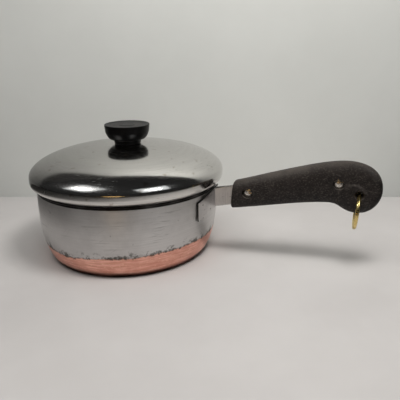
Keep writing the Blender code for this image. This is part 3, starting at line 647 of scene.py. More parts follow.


# dark steel for the bracket's cut edges: painted shade and dark reflection
SHADED_EDGE_STEEL = small_metal_finish("cut edge steel", rgb(0.10, 0.095, 0.09), rgb(0.045, 0.043, 0.04),
                                    rgb(0.02, 0.018, 0.016), 0.4, 600.0, 0.5)
WALL_STEEL = clad_finish("pan wall steel", True)
CLAD_COPPER = clad_finish("clad copper", False)
LID_STEEL = lid_finish()
HANDLE_RESIN = handle_finish()
KNOB_RESIN = knob_finish()
BRACKET_STEEL = bracket_finish()
NICKEL = small_metal_finish("nickel screw", rgb(0.72, 0.69, 0.65), rgb(0.52, 0.48, 0.43),
                            rgb(0.40, 0.24, 0.09), 0.22, 420.0, 0.55)
BRASS = small_metal_finish("brass ring", rgb(0.84, 0.66, 0.29), rgb(0.62, 0.46, 0.17),
                           rgb(0.26, 0.13, 0.045), 0.18, 210.0, 0.64)
STUD_STEEL = small_metal_finish("stud steel", rgb(0.6, 0.59, 0.57), rgb(0.42, 0.41, 0.39),
                                rgb(0.2, 0.13, 0.08), 0.3, 500.0, 0.6)
INSERT_BRASS = small_metal_finish("insert brass", rgb(0.78, 0.6, 0.3), rgb(0.6, 0.42, 0.18),
                                  rgb(0.25, 0.14, 0.06), 0.3, 500.0, 0.6)


# ---- turned pieces


def make_turning_tree():
    """Turns a closed outline, drawn as (radius, height, 0) points, round Z."""
    bench, given, end = new_tree("turned part", "GeometryNodeTree", ["Part"], "NodeSocketGeometry",
                                 Outline="geometry", Steps=TURN_STEPS, Finish="material")
    outline = bench.add("GeometryNodeMeshToCurve", {"Mesh": given["Outline"]}).outputs[0]
    centred = moved_part(bench, outline, Translation=(-PATH_RADIUS, 0, 0))
    upright = moved_part(bench, centred, Scale=(1.0, -1.0, 1.0))
    path = {"Resolution": given["Steps"], "Radius": PATH_RADIUS}
    path = bench.add("GeometryNodeCurvePrimitiveCircle", path).outputs[0]
    swept = bench.add("GeometryNodeCurveToMesh", {"Curve": path, "Profile Curve": upright}).outputs[0]
    closed = bench.add("GeometryNodeMergeByDistance", {"Geometry": swept, "Distance": MERGE_DISTANCE})
    outwards = bench.add("GeometryNodeFlipFaces", {"Mesh": closed.outputs[0]}).outputs[0]
    return finish_part(bench, end, outwards, given["Finish"])


def make_fastener_tree():
    """A turned fastener with a driver's slot across its head."""
    bench, given, end = new_tree("slotted fastener", "GeometryNodeTree", ["Part"], "NodeSocketGeometry",
                                 Outline="geometry", Steps=SMALL_STEPS, Finish="material",
                                 Head_Radius=HEAD_RADIUS, Slot_Width=SLOT_WIDTH, Slot_Floor=4.0 * MM,
                                 Slot_Turn=0.0)
    turned = bench.group(TURNED_PART, "GeometryNodeGroup", Outline=given["Outline"], Steps=given["Steps"],
                         Finish=given["Finish"])[0]
    length = bench.times(given["Head Radius"], 3.0)
    size = bench.joined(length, given["Slot Width"], given["Head Radius"])
    block = bench.add("GeometryNodeMeshCube", {"Size": size}).outputs[0]
    rise = bench.plus(given["Slot Floor"], bench.times(given["Head Radius"], 0.5))
    slot = moved_part(bench, block, Translation=bench.joined(0.0, 0.0, rise),
                      Rotation=bench.joined(0.0, 0.0, given["Slot Turn"]))
    slotted = bench.add("GeometryNodeMeshBoolean", {0: turned}, operation="DIFFERENCE", solver="EXACT")
    bench.feed(slotted.inputs[1], slot)
    return finish_part(bench, end, slotted.outputs[0], given["Finish"])


def moved_part(bench, part, **moves):
    return bench.add("GeometryNodeTransform", {"Geometry": part, **moves}).outputs[0]


def finish_part(bench, end, part, finish):
    whole = bench.add("GeometryNodeRealizeInstances", {"Geometry": part}).outputs[0]
    coated = bench.add("GeometryNodeSetMaterial", {"Geometry": whole, "Material": finish})
    return finish_group(bench, end, Part=coated.outputs[0])


CORNER_SHARE = 0.4               # the most of a straight stretch that one rounded corner may take
PATH_RADIUS = 20.0 * MM          # of the circle that outlines are swept along
MERGE_DISTANCE = 0.001 * MM
TURNED_PART = make_turning_tree()
SLOTTED_FASTENER = make_fastener_tree()


def add_object(name, mesh):
    made = bpy.data.objects.new(name, mesh)
    bpy.context.scene.collection.objects.link(made)
    return made


def plain_mesh(made, smooth_angle):
    """Applies an object's modifiers to a new plain mesh, with normals outwards and round stretches smooth."""
    view = bpy.context.evaluated_depsgraph_get()
    mesh = bpy.data.meshes.new_from_object(made.evaluated_get(view), depsgraph=view)
    made.modifiers.clear()
    made.data = mesh
    shape = bmesh.new()
    shape.from_mesh(mesh)
    bmesh.ops.remove_doubles(shape, verts=shape.verts, dist=MERGE_DISTANCE)
    bmesh.ops.recalc_face_normals(shape, faces=shape.faces)
    shape.to_mesh(mesh)
    shape.free()
    mesh.shade_smooth()
    mesh.set_sharp_from_angle(angle=math.radians(smooth_angle))
    return made


def outline_mesh(name, outline):
    """A loop of edges through (radius, height) points, left open between two points on the axis."""
    mesh = bpy.data.meshes.new(name)
    count = len(outline)
    on_axis = outline[0][0] < MERGE_DISTANCE and outline[-1][0] < MERGE_DISTANCE
    edges = [(index, (index + 1) % count) for index in range(count - 1 if on_axis else count)]
    mesh.from_pydata([(radius, height, 0.0) for radius, height in outline], edges, [])
    return mesh


def set_inputs(modifier, values):
    """Sets a Geometry Nodes modifier's inputs by their names, through each socket's identifier."""
    for item in modifier.node_group.interface.items_tree:
        if item.item_type == "SOCKET" and item.in_out == "INPUT" and item.name in values:
            modifier[item.identifier] = values[item.name]


def turned(name, outline, finish, steps=None, tree=None, smooth_angle=35, **sizes):
    """One turned piece. Sizes are the tree's other inputs, with underscores for spaces."""
    made = add_object(name, outline_mesh(name, outline))
    modifier = made.modifiers.new("turning", "NODES")
    modifier.node_group = tree or TURNED_PART
    values = {"Steps": steps or TURN_STEPS, "Finish": finish}
    values.update({label.replace("_", " "): value for label, value in sizes.items()})
    set_inputs(modifier, values)
    return plain_mesh(made, smooth_angle)


def arc(centre, radius, start, end, steps):
    """Points on an arc, both ends included. Angles are in radians."""
    angles = [start + (end - start) * step / steps for step in range(steps + 1)]
    return [(centre[0] + radius * math.cos(a), centre[1] + radius * math.sin(a)) for a in angles]


def softened(outline, round_size):
    """The outline with each corner rounded, except where it meets the axis."""
    result = []
    count = len(outline)
    for index, point in enumerate(outline):
        here = Vector(point)
        before = Vector(outline[index - 1]) - here
        after = Vector(outline[(index + 1) % count]) - here
        on_axis = point[0] < MERGE_DISTANCE
        if on_axis or before.length < MERGE_DISTANCE or after.length < MERGE_DISTANCE:
            result.append(tuple(here))
            continue
        start = here + before.normalized() * min(round_size, CORNER_SHARE * before.length)
        end = here + after.normalized() * min(round_size, CORNER_SHARE * after.length)
        for step in range(CORNER_STEPS + 1):
            t = step / CORNER_STEPS
            on_curve = start * (1 - t) ** 2 + here * 2 * t * (1 - t) + end * t * t
            result.append(tuple(on_curve))
    return result


# ---- pan


def side_point(turn, inset=0.0):
    """A point on the curved side, turn 0 at its top and a right angle at the base, moved inwards by inset."""
    rise = PAN_HEIGHT - STRAIGHT_HEIGHT
    outwards = Vector((rise * math.cos(turn), -SIDE_ROUND * math.sin(turn))).normalized()
    radius = WALL_RADIUS - SIDE_ROUND * (1 - math.cos(turn)) - inset * outwards.x
    height = rise * (1 - math.sin(turn)) - inset * outwards.y
    return radius, height


def side_curve(start, end, inset):
    shares = [step / SIDE_STEPS for step in range(SIDE_STEPS + 1)]
    return [side_point(start + (end - start) * share, inset) for share in shares]


def copper_top():
    """The turn at which the curved side reaches the top of the cladding."""
    return math.asin(1 - COPPER_HEIGHT / (PAN_HEIGHT - STRAIGHT_HEIGHT))


def pan_outline():
    """Outline of the drawn steel shell: outside from the base up, over the lip, and down the inside."""
    seat = COPPER_SHEET + GAP
    floor = seat + STEEL_SHEET
    quarter = math.pi / 2
    lip_centre = (WALL_RADIUS - STEEL_SHEET + LIP_RADIUS, PAN_HEIGHT - LIP_RADIUS)
    under_lip = math.acos((WALL_RADIUS - lip_centre[0]) / LIP_RADIUS)
    outline = [(0, seat)]
    outline += side_curve(quarter, copper_top(), seat)
    outline += side_curve(copper_top(), 0, 0)
    outline += arc(lip_centre, LIP_RADIUS, -under_lip, math.pi, ARC_STEPS)
    outline += side_curve(0, copper_top(), STEEL_SHEET)[:-1]
    outline += side_curve(copper_top(), quarter, floor)
    outline += [(0, floor)]
    return outline


def copper_outline():
    quarter = math.pi / 2
    outline = [(0, 0)]
    outline += side_curve(quarter, copper_top(), 0)
    outline += side_curve(copper_top(), quarter, COPPER_SHEET)
    outline += [(0, COPPER_SHEET)]
    return outline


def make_pan():
    wall = turned("pan_wall", pan_outline(), WALL_STEEL)
    keep(wall, "pan", "pan_body")
    cladding = turned("copper_cladding", copper_outline(), CLAD_COPPER)
    keep(cladding, "pan", "copper_base")


def keep(piece, body, node):
    """Attaches a finished piece to the body that carries it, and hides the CAD node it stands for."""
    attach(piece, body)
    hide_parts(node)


# ---- lid


LID_SEAT = PAN_HEIGHT + GAP
LID_TOP = LID_SEAT + LID_RISE
WIDEST_RADIUS = WALL_RADIUS + LID_OVERHANG
WIDEST_HEIGHT = LID_SEAT + HEM_RADIUS + (SHOULDER_RADIUS - HEM_RADIUS) * math.sin(SHOULDER_END)
DOME_RISE = LID_TOP - WIDEST_HEIGHT


def dome_height(radius):
    """Height of the dome's outside at this distance from the middle. Its section is half an ellipse."""
    share = radius / WIDEST_RADIUS
    return LID_TOP - DOME_RISE * (1 - math.sqrt(1 - share**2))


def dome_line(inset):
    """The dome's section from its top to its widest line, moved inwards by inset."""
    line = [(0, LID_TOP - inset)]
    for step in range(1, DOME_STEPS + 1):
        turn = math.pi / 2 * (1 - step / DOME_STEPS)
        outwards = Vector((DOME_RISE * math.cos(turn), WIDEST_RADIUS * math.sin(turn))).normalized()
        height = LID_TOP - DOME_RISE * (1 - math.sin(turn)) - inset * outwards.y
        line.append((WIDEST_RADIUS * math.cos(turn) - inset * outwards.x, height))
    return line


def shoulder_radii():
    """Radii of the long arc down the lid's nearly upright side and of the tight arc under its hem."""
    inset = SHOULDER_RADIUS * (1 - math.cos(SHOULDER_END)) + HEM_RADIUS * math.cos(SHOULDER_END)
    drop = SHOULDER_RADIUS * math.sin(SHOULDER_END) + HEM_RADIUS * (1 - math.sin(SHOULDER_END))
    level = math.cos(SIDE_LEAN)
    lean = math.sin(SIDE_LEAN)
    long_radius = (drop * level - inset * (1 - lean)) / (lean * level - (1 - level) * (1 - lean))
    return long_radius, (inset - long_radius * (1 - level)) / level


def lid_line(offset):
    """The sheet's middle line moved outwards by offset: dome, shoulder, hem, seat, and skirt."""
    half = LID_SHEET / 2
    long_radius, tight_radius = shoulder_radii()
    apart = long_radius - tight_radius
    side = (WIDEST_RADIUS - long_radius, WIDEST_HEIGHT)
    hem = (side[0] + apart * math.cos(SIDE_LEAN), side[1] - apart * math.sin(SIDE_LEAN))
    skirt_radius = WALL_RADIUS - STEEL_SHEET - SKIRT_CLEARANCE - half
    bend = (skirt_radius + SKIRT_BEND, LID_SEAT + half - SKIRT_BEND)
    line = dome_line(half - offset)
    line += arc(side, long_radius - half + offset, 0, -SIDE_LEAN, ARC_STEPS)[1:]
    line += arc(hem, tight_radius - half + offset, -SIDE_LEAN, -math.pi / 2, ARC_STEPS)[1:]
    line += arc(bend, SKIRT_BEND - offset, math.pi / 2, math.pi, ARC_STEPS)
    line += [(skirt_radius + offset, LID_SEAT - SKIRT_DEPTH)]
    return line


def lid_outline():
    half = LID_SHEET / 2
    return lid_line(half) + lid_line(-half)[::-1]


# ---- knob


def knob_outline():
    """The dish with its raised disc, the cup, the neck, and the hole for the insert and the stud."""
    base = LID_TOP + GAP
    top = base + KNOB_HEIGHT
    dish = top - DISH_DEPTH
    cup_base = base + NECK_HEIGHT
    cup_radius = KNOB_RADIUS - CUP_TAPER
    pocket_radius = STUD_FLANGE_RADIUS + GAP
    flange_top = base + STUD_FLANGE + GAP
    hole_radius = STUD_RADIUS + THREAD_CLEARANCE + INSERT_WALL + GAP
    hole_top = flange_top + INSERT_LENGTH + 2 * GAP
    tip_top = max(base + STUD_LENGTH, hole_top) + GAP
    outline = [(0, dish + DISC_RISE), (DISC_RADIUS - EDGE_ROUND, dish + DISC_RISE), (DISC_RADIUS, dish)]
    outline += [(KNOB_RADIUS - 2 * KNOB_RIM, dish + DISH_DEPTH / 4), (KNOB_RADIUS - KNOB_RIM, top)]
    outline += [(KNOB_RADIUS, top)]
    outline += [(KNOB_RADIUS - CUP_TAPER / 3, (top + cup_base) / 2)]
    outline += [(cup_radius, cup_base + CUP_ROUND)]
    outline += [(cup_radius - 0.5 * CUP_ROUND, cup_base + 0.35 * CUP_ROUND)]
    outline += [(cup_radius - 1.2 * CUP_ROUND, cup_base), (NECK_RADIUS, cup_base)]
    outline += [(radius, dome_height(radius) + GAP) for radius in (NECK_RADIUS, pocket_radius)]
    outline += [(pocket_radius, flange_top), (hole_radius, flange_top), (hole_radius, hole_top)]
    outline += [(STUD_RADIUS + GAP, hole_top), (STUD_RADIUS + GAP, tip_top), (0, tip_top)]
    return softened(outline, KNOB_SOFTNESS)


def make_lid():
    dome = turned("lid_dome", lid_outline(), LID_STEEL)
    keep(dome, "lid", "lid_shell")
    knob = turned("knob", knob_outline(), KNOB_RESIN, steps=KNOB_STEPS, smooth_angle=50)
    keep(knob, "lid", "lid_knob")


# ---- bracket


FOLD_X = WALL_RADIUS + FOLD_STANDOFF
TANG_ROOT = PAN_HEIGHT - TANG_DROP
FRONT_X = FOLD_X + HANDLE_SETBACK
BUTT_X = FRONT_X + HANDLE_LENGTH


def tang_middle(x):
    return TANG_ROOT + (x - FOLD_X) * TANG_SLOPE


def from_butt(place):
    """An (x, z) place from a distance back from the butt and a height from the tang's root."""
    return BUTT_X - place[0], TANG_ROOT + place[1]


SCREW_PLACES = {
    "front": (FRONT_X + FRONT_SCREW_SETBACK, tang_middle(FRONT_X + FRONT_SCREW_SETBACK) + FRONT_SCREW_RISE),
    "rear": (BUTT_X - REAR_SCREW_FROM_BUTT, tang_middle(BUTT_X - REAR_SCREW_FROM_BUTT)),
}
TANG_END = SCREW_PLACES["rear"][0] + TANG_PAST_SCREW
TANG_NEAR = TANG_GAP / 2
TANG_FAR = TANG_NEAR + BRACKET_SHEET


def tang_half_height(x):
    share = (x - FOLD_X) / (TANG_END - FOLD_X)
    return (TANG_ROOT_HEIGHT + (TANG_END_HEIGHT - TANG_ROOT_HEIGHT) * share) / 2


def wing_edges(angle):
    """Lowest and highest point of the wing at this angle from the handle."""
    share = angle / WING_ANGLE
    half = TANG_ROOT_HEIGHT / 2
    low = -half + (half - WING_TIP_DROP) * share
    high = half + (WING_TIP_RISE - half) * share
    return TANG_ROOT + low, TANG_ROOT + high


def wing_station(share):
    """A section of the wing: share 0 at its far edge, 1 at the bend where the web leaves the wall."""
    low_angle = WING_ANGLE + (WEB_ANGLE_BOTTOM - WING_ANGLE) * share
    high_angle = WING_ANGLE + (WEB_ANGLE_TOP - WING_ANGLE) * share
    low = wing_edges(low_angle)[0]
    high = wing_edges(high_angle)[1]
    inside = []
    outside = []
    for row in range(PLATE_ROWS + 1):
        up = row / PLATE_ROWS
        angle = low_angle + (high_angle - low_angle) * up
        height = low + (high - low) * up
        for points, radius in ((inside, WALL_RADIUS + GAP), (outside, WALL_RADIUS + GAP + BRACKET_SHEET)):
            points.append((radius * math.cos(angle), radius * math.sin(angle), height))
    return inside + outside[::-1]


def tang_station(x):
    inside = []
    outside = []
    for row in range(PLATE_ROWS + 1):
        height = tang_middle(x) + tang_half_height(x) * (2 * row / PLATE_ROWS - 1)
        inside.append((x, TANG_NEAR, height))
        outside.append((x, TANG_FAR, height))
    return inside + outside[::-1]


def mirrored(points, side):
    return [(x, y * side, z) for x, y, z in points]


def skin(stations, count):
    """Faces that join closed cross-sections of count points each, and close the first one."""
    faces = [list(range(count))]
    for here in range(0, (stations - 1) * count, count):
        for index in range(count):
            after = (index + 1) % count
            faces.append([here + index, here + after, here + count + after, here + count + index])
    return faces


def loft(name, stations):
    """Skins closed cross-sections with the same number of points, and closes both ends."""
    count = len(stations[0])
    points = [point for station in stations for point in station]
    last = list(range(len(points) - count, len(points)))
    return mesh_from(name, points, skin(len(stations), count) + [last])


def mesh_from(name, points, faces):
    shape = bmesh.new()
    corners = [shape.verts.new(point) for point in points]
    for face in faces:
        shape.faces.new([corners[index] for index in face])
    bmesh.ops.recalc_face_normals(shape, faces=shape.faces)
    mesh = bpy.data.meshes.new(name)
    shape.to_mesh(mesh)
    shape.free()
    return mesh


def cut(target, tool):
    modifier = target.modifiers.new(tool.name, "BOOLEAN")
    modifier.operation = "DIFFERENCE"
    modifier.solver = "EXACT"
    modifier.object = tool
    return tool


def side_tool(name, profile, place, side):
    """A turned cutter at place, an (x, z) pair. Its profile's height runs from the middle plane outwards."""
    tool = turned(name, profile, None, steps=SMALL_STEPS)
    turn = Matrix.Rotation(math.radians(-90 * side), 4, "X")
    tool.data.transform(Matrix.Translation((place[0], 0, place[1])) @ turn)
    return tool


def remove(tools):
    for tool in tools:
        bpy.data.objects.remove(tool)


def shade_cut_edges(mesh):
    """Gives the second material, dark steel that paints the shade and dark reflection on the cut edges, to
    both long edges of the sheet and to its far end.
    """
    count = 2 * (PLATE_ROWS + 1)
    for face in mesh.polygons:
        rows = sorted({corner % count for corner in face.vertices})
        if rows in ([PLATE_ROWS, PLATE_ROWS + 1], [0, count - 1]) or max(face.vertices) < count:
            face.material_index = 1


def make_bracket():
    hole = SCREW_RADIUS + SCREW_CLEARANCE
    reach = 2 * TANG_FAR
    for label, side in (("left", 1), ("right", -1)):
        stations = [wing_station(step / WING_STEPS) for step in range(WING_STEPS + 1)]
        stations += [tang_station(FOLD_X), tang_station(TANG_END)]
        plate = add_object("bracket_plate_" + label, loft("plate", [mirrored(s, side) for s in stations]))
        plate.data.materials.append(BRACKET_STEEL)
        # second material: painted shade on the cut edges
        plate.data.materials.append(SHADED_EDGE_STEEL)
        shade_cut_edges(plate.data)
        edges = plate.modifiers.new("pressed edges", "BEVEL")
        edges.width = SHEET_EDGE
        edges.segments = SHEET_EDGE_STEPS
        edges.limit_method = "ANGLE"
        edges.angle_limit = FOLD_ANGLE
        drill = [(0, -reach), (hole, -reach), (hole, reach), (0, reach)]
        tools = [cut(plate, side_tool("drill", drill, place, side)) for place in SCREW_PLACES.values()]
        plain_mesh(plate, 40)
        remove(tools)
        keep(plate, "pan", "bracket_" + label)


# ---- handle


def bezier(start, pull_start, pull_end, end):
    points = []
    for step in range(CURVE_STEPS + 1):
        t = step / CURVE_STEPS
        weights = ((1 - t) ** 3, 3 * (1 - t) ** 2 * t, 3 * (1 - t) * t * t, t**3)
        knots = (start, pull_start, pull_end, end)
        points.append(tuple(sum(w * knot[axis] for w, knot in zip(weights, knots)) for axis in (0, 1)))
    return points


def moved(point, along, up=0.0):
    return point[0] + along, point[1] + up


def handle_edges():
    """The handle's top and bottom edges, front to butt, as (x, z) points."""
    crest = from_butt(CREST)
    hollow = from_butt(HOLLOW)
    lobe = from_butt(LOBE)
    tip = from_butt((0, TIP_HEIGHT))
    top_front = (FRONT_X, TANG_ROOT + FRONT_TOP)
    bottom_front = (FRONT_X, TANG_ROOT + FRONT_BOTTOM)
    top = bezier(top_front, moved(top_front, *FRONT_TOP_PULL), moved(crest, -CREST_PULLS[0]), crest)
    top += bezier(crest, moved(crest, CREST_PULLS[1]), moved(tip, 0, TIP_PULLS[1]), tip)[1:]
    front_pull = moved(bottom_front, *FRONT_BOTTOM_PULL)
    bottom = bezier(bottom_front, front_pull, moved(hollow, -HOLLOW_PULLS[0]), hollow)
    bottom += bezier(hollow, moved(hollow, HOLLOW_PULLS[1]), moved(lobe, -LOBE_PULLS[0]), lobe)[1:]
    bottom += bezier(lobe, moved(lobe, LOBE_PULLS[1]), moved(tip, 0, -TIP_PULLS[0]), tip)[1:]
    return top, bottom


def height_at(edge, x):
    """Height of an edge at x. Before the edge's first point it keeps that point's height."""
    for (x0, z0), (x1, z1) in zip(edge, edge[1:]):
        if x <= x1:
            share = max((x - x0) / (x1 - x0), 0) if x1 > x0 else 1
            return z0 + (z1 - z0) * share
    return edge[-1][1]


def blend(share):
    """Runs from 0 to 1 without a corner at either end."""
    share = min(max(share, 0), 1)
    return share * share * (3 - 2 * share)


def half_thickness(x):
    """From the middle plane to the handle's side, which swells at the grip and thins to the butt."""
    middle = (FRONT_X + BUTT_X) / 2
    swell = blend((x - FRONT_X) / (middle - FRONT_X))
    thin = blend((x - middle) / (from_butt(RING_HOLE)[0] - middle))
    whole = FRONT_THICKNESS + (GRIP_THICKNESS - FRONT_THICKNESS) * swell
    whole += (RING_THICKNESS - GRIP_THICKNESS) * thin
    into_butt = max((x - (BUTT_X - BUTT_ROUND)) / BUTT_ROUND, 0)
    return whole / 2 * max(1 - into_butt**BUTT_POWER, 0) ** (1 / BUTT_POWER)


def boss_lift(x, height, facing):
    """How far the boss round the ring's hole stands out here. Facing is 0 at the handle's edge."""
    across, up = from_butt(BOSS_PLACE)
    reach = math.hypot(x - across, height - up)
    rise = blend((BOSS_RADIUS + BOSS_EDGE / 2 - reach) / BOSS_EDGE)
    return BOSS_RISE * rise * blend(facing / BOSS_FACING)


def half_section(x, shrink, edges):
    """Half a rounded section from the top edge round the side to the bottom edge, leaning at the front."""
    inside = GAP / 2
    top = height_at(edges[0], x) - shrink
    bottom = height_at(edges[1], x) + shrink
    middle = (top + bottom) / 2
    reach = (top - bottom) / 2
    side = max(half_thickness(x) - shrink, 2 * GAP) - inside
    fade = max(1 - (x - FRONT_X) / (LEAN_REACH * HANDLE_LENGTH), 0)
    lean = math.tan(FRONT_LEAN) * fade
    section = []
    for step in range(SECTION_STEPS + 1):
        angle = math.pi / 2 - math.pi * step / SECTION_STEPS
        up = math.copysign(abs(math.sin(angle)) ** (2 / SECTION_POWER), math.sin(angle))
        out = max(math.cos(angle), 0) ** (2 / SECTION_POWER)
        rise = reach * up
        place = x + lean * (rise + reach)
        section.append((place, inside + side * out + boss_lift(place, middle + rise, out), middle + rise))
    return section


def handle_mesh(name, side):
    """One half of the handle: a rounded front, sections along its length, and a point at the butt."""
    edges = handle_edges()
    stations = []
    for step in range(FRONT_STEPS):
        into = FRONT_ROUND * (1 - math.cos(math.pi / 2 * step / FRONT_STEPS))
        shrink = FRONT_ROUND - math.sqrt(FRONT_ROUND**2 - (FRONT_ROUND - into) ** 2)
        stations.append(half_section(FRONT_X + into, shrink, edges))
    first = FRONT_X + FRONT_ROUND
    for step in range(HANDLE_STATIONS):
        share = math.sin(math.pi / 2 * step / HANDLE_STATIONS)
        stations.append(half_section(first + (BUTT_X - first) * share, 0, edges))
    points = [point for station in stations for point in mirrored(station, side)]
    count = SECTION_STEPS + 1
    last = (len(stations) - 1) * count
    tip = len(points)
    points += mirrored([(BUTT_X, GAP / 2, edges[0][-1][1])], side)
    end = [[last + index, last + (index + 1) % count, tip] for index in range(count)]
    return mesh_from(name, points, skin(len(stations), count) + end)


def tang_pocket(side):
    """The space that one half leaves for its tang sheet, open at the handle's front."""
    depth = TANG_FAR + GAP
    stations = []
    for x in (FOLD_X, TANG_END + GAP):
        low = tang_middle(x) - tang_half_height(x) - GAP
        high = tang_middle(x) + tang_half_height(x) + GAP
        stations.append(mirrored([(x, -GAP, low), (x, -GAP, high), (x, depth, high), (x, depth, low)], side))
    return add_object("pocket", loft("pocket", stations))


HEAD_SEAT = TANG_FAR + GAP + SEAT_WALL
SLEEVE_RADIUS = SCREW_RADIUS + THREAD_CLEARANCE + SLEEVE_WALL


def counterbore(shaft_radius, surface):
    """A screw's hole, and the wider bore for its head, with a softened mouth at the handle's surface."""
    bore = HEAD_RADIUS + HEAD_CLEARANCE
    outline = [(0, -MM), (shaft_radius, -MM), (shaft_radius, HEAD_SEAT), (bore, HEAD_SEAT)]
    outline += arc((bore + HOLE_EDGE, surface - HOLE_EDGE), HOLE_EDGE, math.pi, math.pi / 2, HOLE_EDGE_STEPS)
    return outline + [(bore + HOLE_EDGE, GRIP_THICKNESS), (0, GRIP_THICKNESS)]


def ring_room(depth):
    """Radius the ring's hole needs at this distance from the middle plane, for the ring to swing in it."""
    wire_fall = RING_RADIUS - math.sqrt(RING_RADIUS**2 - depth**2)
    return wire_fall + WIRE_RADIUS * RING_RADIUS / (RING_RADIUS - wire_fall) + RING_CLEARANCE


def ring_hole():
    """The ring's hole in one half, widening as the ring curves away."""
    reach = RING_THICKNESS / 2 + BOSS_RISE + MM
    depths = [reach * step / ARC_STEPS for step in range(ARC_STEPS + 1)]
    outline = [(0, -MM), (ring_room(0), -MM)] + [(ring_room(depth), depth) for depth in depths]
    return outline + [(0, reach)]


def make_handle():
    for label, side in (("left", 1), ("right", -1)):
        half = add_object("handle_half_" + label, handle_mesh("handle_half", side))
        half.data.materials.append(HANDLE_RESIN)
        tools = [cut(half, tang_pocket(side))]
        shaft = SLEEVE_RADIUS if side > 0 else SCREW_RADIUS
        for place in SCREW_PLACES.values():
            profile = counterbore(shaft + SCREW_CLEARANCE, half_thickness(place[0]))
            tools.append(cut(half, side_tool("bore", profile, place, side)))
        tools.append(cut(half, side_tool("ring_bore", ring_hole(), from_butt(RING_HOLE), side)))
        plain_mesh(half, 40)
        remove(tools)
        keep(half, "pan", "handle_" + label)


# ---- fasteners and ring


def head_outline(inner):
    """A domed head above its seat, ending at the radius called inner."""
    seat = HEAD_SEAT + GAP
    top = seat + HEAD_HEIGHT
    ball = (HEAD_RADIUS**2 + HEAD_DOME**2) / (2 * HEAD_DOME)
    start = math.asin(HEAD_RADIUS / ball)
    end = math.asin(inner / ball)
    dome = arc((0, top - ball), ball, math.pi / 2 - start, math.pi / 2 - end, ARC_STEPS)
    return [(HEAD_RADIUS, seat)] + dome


def make_fasteners():
    seat = HEAD_SEAT + GAP
    top = seat + HEAD_HEIGHT
    tip = TIP_SETBACK - top
    screw = [(0, tip), (SCREW_RADIUS - TIP_CHAMFER, tip), (SCREW_RADIUS, tip + TIP_CHAMFER)]
    screw += [(SCREW_RADIUS, seat)]
    screw += head_outline(0)
    bore = SCREW_RADIUS + THREAD_CLEARANCE
    inner_end = TANG_FAR + GAP
    nut = [(bore, inner_end), (SLEEVE_RADIUS, inner_end), (SLEEVE_RADIUS, seat)] + head_outline(bore)
    for label, place in SCREW_PLACES.items():
        for kind, outline, side, turn in (("screw", screw, -1, 0.0), ("nut", nut, 1, NUT_TURN)):
            made = turned(label + "_" + kind + "_turned", outline, NICKEL, steps=SMALL_STEPS,
                          tree=SLOTTED_FASTENER, Head_Radius=HEAD_RADIUS, Slot_Width=SLOT_WIDTH,
                          Slot_Floor=top - SLOT_DEPTH, Slot_Turn=SCREW_SLOTS[label] + turn)
            sideways = Matrix.Rotation(math.radians(-90 * side), 4, "X")
            made.data.transform(Matrix.Translation((place[0], 0, place[1])) @ sideways)
            keep(made, "pan", label + "_" + kind)


def make_ring():
    """The ring hangs across the handle, leaning a little towards the pan."""
    profile = arc((RING_RADIUS, 0), WIRE_RADIUS, 0, 2 * math.pi, WIRE_STEPS)[:-1]
    ring = turned("ring_wire", profile, BRASS, steps=RING_STEPS, smooth_angle=60)
    upright = Matrix.Translation((0, 0, -RING_RADIUS)) @ Matrix.Rotation(math.radians(90), 4, "Y")
    x, z = from_butt(RING_HOLE)
    lean = Matrix.Rotation(RING_LEAN, 4, "Y")
    ring.data.transform(Matrix.Translation((x, 0, z)) @ lean @ upright)
    keep(ring, "ring", "hanging_ring")


def finish_hidden_pieces():
    """The stud and the insert inside the knob keep their CAD shape."""
    for name, finish in (("knob_stud", STUD_STEEL), ("knob_insert", INSERT_BRASS)):
        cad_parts[name].data.materials[0] = finish


make_pan()
make_lid()
make_bracket()
make_handle()
make_fasteners()
make_ring()
finish_hidden_pieces()


# ---- camera, stage and light


HEADING = Vector((math.sin(CAMERA_HEADING), math.cos(CAMERA_HEADING), 0))
SIDEWAYS = Vector((HEADING.y, -HEADING.x, 0))
WALL_LEFT = 0.9
WALL_RIGHT = 0.9
WALL_HEIGHT = 0.62
WALL_CLIMB = (-0.24, -0.08)      # from where to where along the backdrop its lit part rises
WALL_LIT = (0.28, 0.50)          # height of the lit part before and after
WALL_DIM = (-0.40, 0.10, 0.35)   # along the backdrop, where its dim end stops and ends, and how dim it is
POOL_CENTRE = (0.06, 0.0, 0.0)
POOL_EDGE = (0.17, 0.33)
TABLE_REACH = 3.0
UNLIT = rgb(0.02, 0.019, 0.018)
TABLE_PALE = rgb(0.60, 0.58, 0.57)
TABLE_GREY = rgb(0.55, 0.53, 0.52)
PAPER_PALE = rgb(0.78, 0.79, 0.76)
PAPER_GREY = rgb(0.74, 0.75, 0.72)
ROOM_SEEN = rgb(0.60, 0.61, 0.59)
ROOM_REFLECTED = rgb(0.02, 0.02, 0.02)
WARM_WHITE = (1.0, 0.985, 0.96)
COOL_WHITE = (0.94, 0.98, 1.0)
PAN_MIDDLE = (0.03, 0.0, 0.04)

